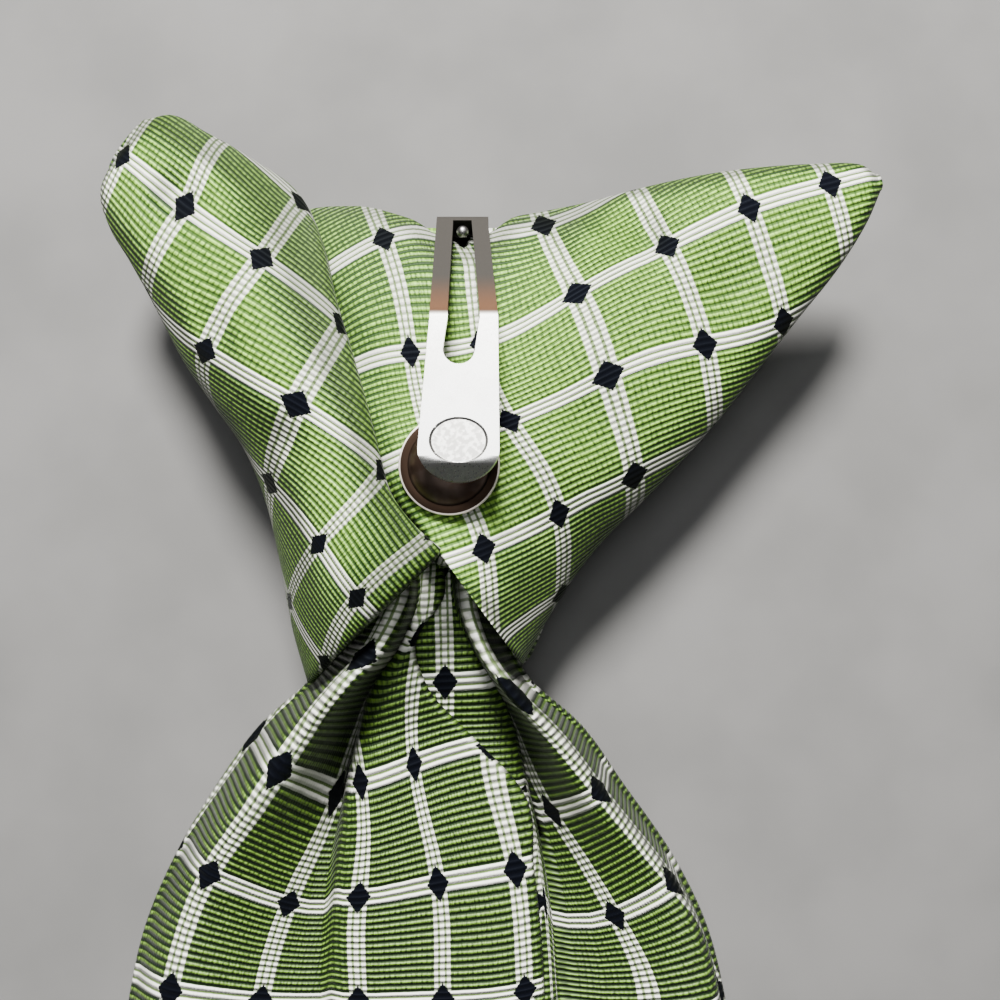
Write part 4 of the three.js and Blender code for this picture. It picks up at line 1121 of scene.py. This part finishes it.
def spring_material():
    """Bright plated steel with fine scratches and grain. Its ramp is painted dark, brown at the bend
    fading to grey, as a painted reflection of the dark surroundings that the sloping ramp faces.
    """
    steel = Material("spring_steel")
    place = steel.place()
    x, y, z = steel.apart(place)
    grain = steel.noise(place, 4200.0, 2.0)
    blotch = steel.noise(place, 260.0, 3.0)
    scratch = steel.noise(steel.together(x * 14.0, y * 1.5, z * 6.0), 900.0, 2.0)
    ramp = y.step(*RAMP_EDGE)
    # Painted reflection: the ramp is painted dark, brown at the bend fading to dark grey towards the hook,
    # for the dark surroundings that it reflects.
    ramp_painted_reflection = steel.mix(1.0 - y.step(*BROWN_RUN), (0.024, 0.021, 0.017), (0.085, 0.035, 0.012))
    (at_x, at_y), (reach_x, reach_y) = DIMPLE_MIDDLE, DIMPLE_REACH
    oval = (((x - at_x) / reach_x) ** 2 + ((y - at_y) / reach_y) ** 2).step(0.85, 1.0)
    wear_marks = steel.noise(place, 1900.0, 3.0).step(0.42, 0.60)
    worn = steel.mix(wear_marks, (0.50, 0.49, 0.46), (0.86, 0.85, 0.80))
    bright = steel.mix(blotch.step(0.40, 0.70) * 0.45, (0.97, 0.96, 0.92), (0.78, 0.77, 0.72))
    tone = steel.mix(ramp, steel.mix(oval, worn, bright), ramp_painted_reflection)
    rough = 0.22 + grain * 0.08 + scratch * 0.05 + ramp * 0.55 + (1.0 - oval) * 0.12
    bump = steel.bump(grain * 0.3 + scratch * 0.7, 0.12, METAL_RELIEF)
    return steel.finish(tone, rough, {"Metallic": 1.0 - ramp * 0.7, "Normal": bump})


def dish_material(clip):
    """Brown plated metal with faint smears. Its flange is painted near black as painted shade, and a thin
    bright ring round the rim is a painted highlight.
    """
    metal = Material("dish_metal")
    place = metal.place()
    low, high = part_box("clip_dish")
    at_x, at_y, _ = middle_of(low, high)
    x, y, _ = metal.apart(place)
    radius = ((x - at_x) ** 2 + (y - at_y) ** 2) ** 0.5
    rim, foot = clip.dish_diameter / 2, clip.dish_diameter / 2 - clip.flange
    smear = metal.noise(place, 500.0, 3.0)
    fine = metal.noise(place, 3000.0, 2.0)
    tone = metal.mix(smear.step(0.35, 0.7), (0.25, 0.16, 0.12), (0.40, 0.29, 0.24))
    # Painted shade: the flange is painted near black, and rougher.
    flange = radius.step(foot - 0.6 * MM, foot - 0.2 * MM)
    tone = metal.mix(flange, tone, (0.016, 0.010, 0.007))
    # Painted highlight: a thin bright ring painted round the rim.
    tone = metal.mix(radius.step(rim - 0.25 * MM, rim - 0.12 * MM), tone, (0.62, 0.56, 0.50))
    rough = 0.26 + smear * 0.10 + fine * 0.04 + flange * 0.2
    return metal.finish(tone, rough, {"Metallic": 1.0, "Normal": metal.bump(fine, 0.08, METAL_RELIEF)})


def rivet_material():
    """Grey plated metal, dulled by handling."""
    metal = Material("rivet_metal")
    wear_and_painted_shade = metal.noise(metal.place(), 1500.0, 3.0)
    tone = metal.mix(wear_and_painted_shade.step(0.3, 0.7), (0.24, 0.235, 0.23), (0.45, 0.44, 0.43))
    rough = 0.28 + wear_and_painted_shade * 0.15
    return metal.finish(tone, rough, {"Metallic": 1.0, "Normal": metal.bump(wear_and_painted_shade, 0.15, METAL_RELIEF)})


def floor_material():
    """Pale matt floor with a faint mottle."""
    floor = Material("studio_floor")
    mottle = floor.noise(floor.place(), 40.0, 4.0)
    tone = floor.mix(mottle.step(0.3, 0.7), (0.128, 0.127, 0.124), (0.155, 0.153, 0.150))
    return floor.finish(tone, 0.9, {"Specular IOR Level": 0.1})


# ---------------------------------------------------------------- operators

def wear(piece, material, node_name):
    piece.data.materials.clear()
    piece.data.materials.append(material)
    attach(piece, "root")
    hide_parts(node_name)


def knot_silk(weave):
    """The knot's silk, which its wings and its front band share."""
    name = "knot_silk"
    # The knot's copy is not darkened, and its gaps get painted sheen where the silk gleams.
    return bpy.data.materials.get(name) or silk_material(weave, name, 1.0, 0.14, 0.00018)


class TIE_OT_wings(bpy.types.Operator):
    """Folds the two wings of the knot"""
    bl_idname = "necktie.wings"
    bl_label = "Wings"

    def execute(self, context):
        sizes, weave = context.scene.tie_sizes, context.scene.tie_weave
        silk = knot_silk(weave)
        span = sizes.wing_span
        right = make_wing("right_wing_cloth", RIGHT_WING, RIGHT_DENTS, RIGHT_LAYOUT, RIGHT_CROSSINGS,
                          sizes, context.scene.tie_clip)
        # Painted shade in the folds' hollows, and painted sheen by the way each face turns; each wing has
        # its own way of sheen.
        paint_shade_and_sheen(right.data, (0.15, -0.12, 0.98), 0.85, 0.985)
        left = make_wing("left_wing_cloth", LEFT_WING, LEFT_DENTS, LEFT_LAYOUT, LEFT_CROSSINGS,
                         sizes, None)
        paint_shade_and_sheen(left.data, (-0.33, -0.06, 0.94), 0.935, 1.0)
        for piece, node, flat in (
            (right, "wing_right", (0.98 * span, 0.56 * span)),
            (left, "wing_left", (0.70 * span, 0.46 * span)),
        ):
            wear(piece, silk, node)
        return {"FINISHED"}


class TIE_OT_front(bpy.types.Operator):
    """Folds the front band of the knot under the wings"""
    bl_idname = "necktie.front"
    bl_label = "Front band"

    def execute(self, context):
        sizes, weave = context.scene.tie_sizes, context.scene.tie_weave
        wings = [bpy.data.objects["left_wing_cloth"], bpy.data.objects["right_wing_cloth"]]
        piece = make_front("front_cloth", sizes, weave, wings)
        # Painted shade in the band's hollows, and painted sheen on its faces that turn up.
        paint_shade_and_sheen(piece.data, (0.0, 0.0, 1.0), 0.5, 0.95)
        wear(piece, knot_silk(weave), "knot_front")
        return {"FINISHED"}


class TIE_OT_blade(bpy.types.Operator):
    """Pleats the blade and lays it out to its point"""
    bl_idname = "necktie.blade"
    bl_label = "Blade"

    def execute(self, context):
        sizes, weave = context.scene.tie_sizes, context.scene.tie_weave
        # The blade's copy of the silk: painted darker as painted shade, and with no painted sheen in its
        # gaps.
        silk = silk_material(weave, "blade_silk", weave.blade_painted_shade, 0.0, 0.00030)
        piece = make_blade("blade_cloth", sizes, weave)
        # Painted shade in the blade's hollows away from the knot, and painted sheen by the way its faces
        # turn.
        paint_shade_and_sheen(piece.data, (0.0, -0.15, 0.98), 0.4, 0.93, deep=0.0045, opens=0.022)
        wear(piece, silk, "blade")
        return {"FINISHED"}


class TIE_OT_clip(bpy.types.Operator):
    """Bends the sprung clip, and sets the dish and the rivet under it"""
    bl_idname = "necktie.clip"
    bl_label = "Clip"

    def execute(self, context):
        clip = context.scene.tie_clip
        wear(make_spring("spring_strip", clip), spring_material(), "clip_spring")
        wear(make_dish("dish_disc", clip), dish_material(clip), "clip_dish")
        wear(make_rivet("rivet_head", clip), rivet_material(), "clip_rivet")
        return {"FINISHED"}


class TIE_OT_stage(bpy.types.Operator):
    """Sets the floor, the lights and the camera"""
    bl_idname = "necktie.stage"
    bl_label = "Stage"

    def execute(self, context):
        studio = context.scene.tie_studio
        deselect()
        bpy.ops.mesh.primitive_plane_add(size=studio.floor, location=(0, 0, 0))
        floor = context.object
        floor.name = "studio_floor"
        floor.data.materials.append(floor_material())

        world = bpy.data.worlds.new("studio_world")
        world.use_nodes = True
        background = world.node_tree.nodes["Background"]
        background.inputs["Color"].default_value = (0.93, 0.96, 1.0, 1.0)
        background.inputs["Strength"].default_value = studio.ambient
        context.scene.world = world

        for name, power, size, place, tint in (
            ("key_light", studio.key_power, 0.15, (-0.025, 0.32, 0.40), (1.0, 0.985, 0.96)),
            ("top_light", studio.top_power, 0.22, (0.0, 0.05, 0.50), (0.97, 0.985, 1.0)),
            ("fill_light", studio.fill_power, 0.8, (0.1, -0.2, 0.9), (0.95, 0.97, 1.0)),
        ):
            light = bpy.data.lights.new(name, "AREA")
            light.shape = "DISK"
            light.size = size
            light.energy = power
            light.color = tint
            lamp = bpy.data.objects.new(name, light)
            lamp.location = place
            lamp.rotation_euler = (-Vector(place)).to_track_quat("-Z", "Y").to_euler()
            context.scene.collection.objects.link(lamp)

        lens = bpy.data.cameras.new("camera")
        lens.lens = studio.focal
        lens.sensor_width = 36.0
        lens.clip_start = 0.001
        camera = bpy.data.objects.new("camera", lens)
        target = Vector((0.008, -0.007, 0.0))
        height = studio.elevation
        camera.location = target + Vector((0, -math.cos(height), math.sin(height))) * studio.distance
        camera.rotation_euler = (math.pi / 2 - height, 0, 0)
        context.scene.collection.objects.link(camera)
        context.scene.camera = camera
        return {"FINISHED"}


class TIE_PT_panel(bpy.types.Panel):
    """Buttons that build the necktie piece by piece"""
    bl_idname = "TIE_PT_panel"
    bl_label = "Necktie"
    bl_space_type = "VIEW_3D"
    bl_region_type = "UI"
    bl_category = "Necktie"

    def draw(self, context):
        for operator in OPERATORS:
            self.layout.operator(operator.bl_idname)


OPERATORS = (TIE_OT_wings, TIE_OT_front, TIE_OT_blade, TIE_OT_clip, TIE_OT_stage)
GROUPS = {
    "tie_sizes": TieSizes, "tie_weave": WeaveSizes, "tie_clip": ClipSizes, "tie_studio": StudioSizes,
}
CLASSES = (*GROUPS.values(), *OPERATORS, TIE_PT_panel)


def register():
    for cls in CLASSES:
        bpy.utils.register_class(cls)
    for name, group in GROUPS.items():
        setattr(bpy.types.Scene, name, PointerProperty(type=group))


def unregister():
    for name in GROUPS:
        delattr(bpy.types.Scene, name)
    for cls in reversed(CLASSES):
        bpy.utils.unregister_class(cls)


def main():
    register()
    bpy.ops.necktie.wings()
    bpy.ops.necktie.front()
    bpy.ops.necktie.blade()
    bpy.ops.necktie.clip()
    bpy.ops.necktie.stage()


if __name__ == "__main__":
    main()
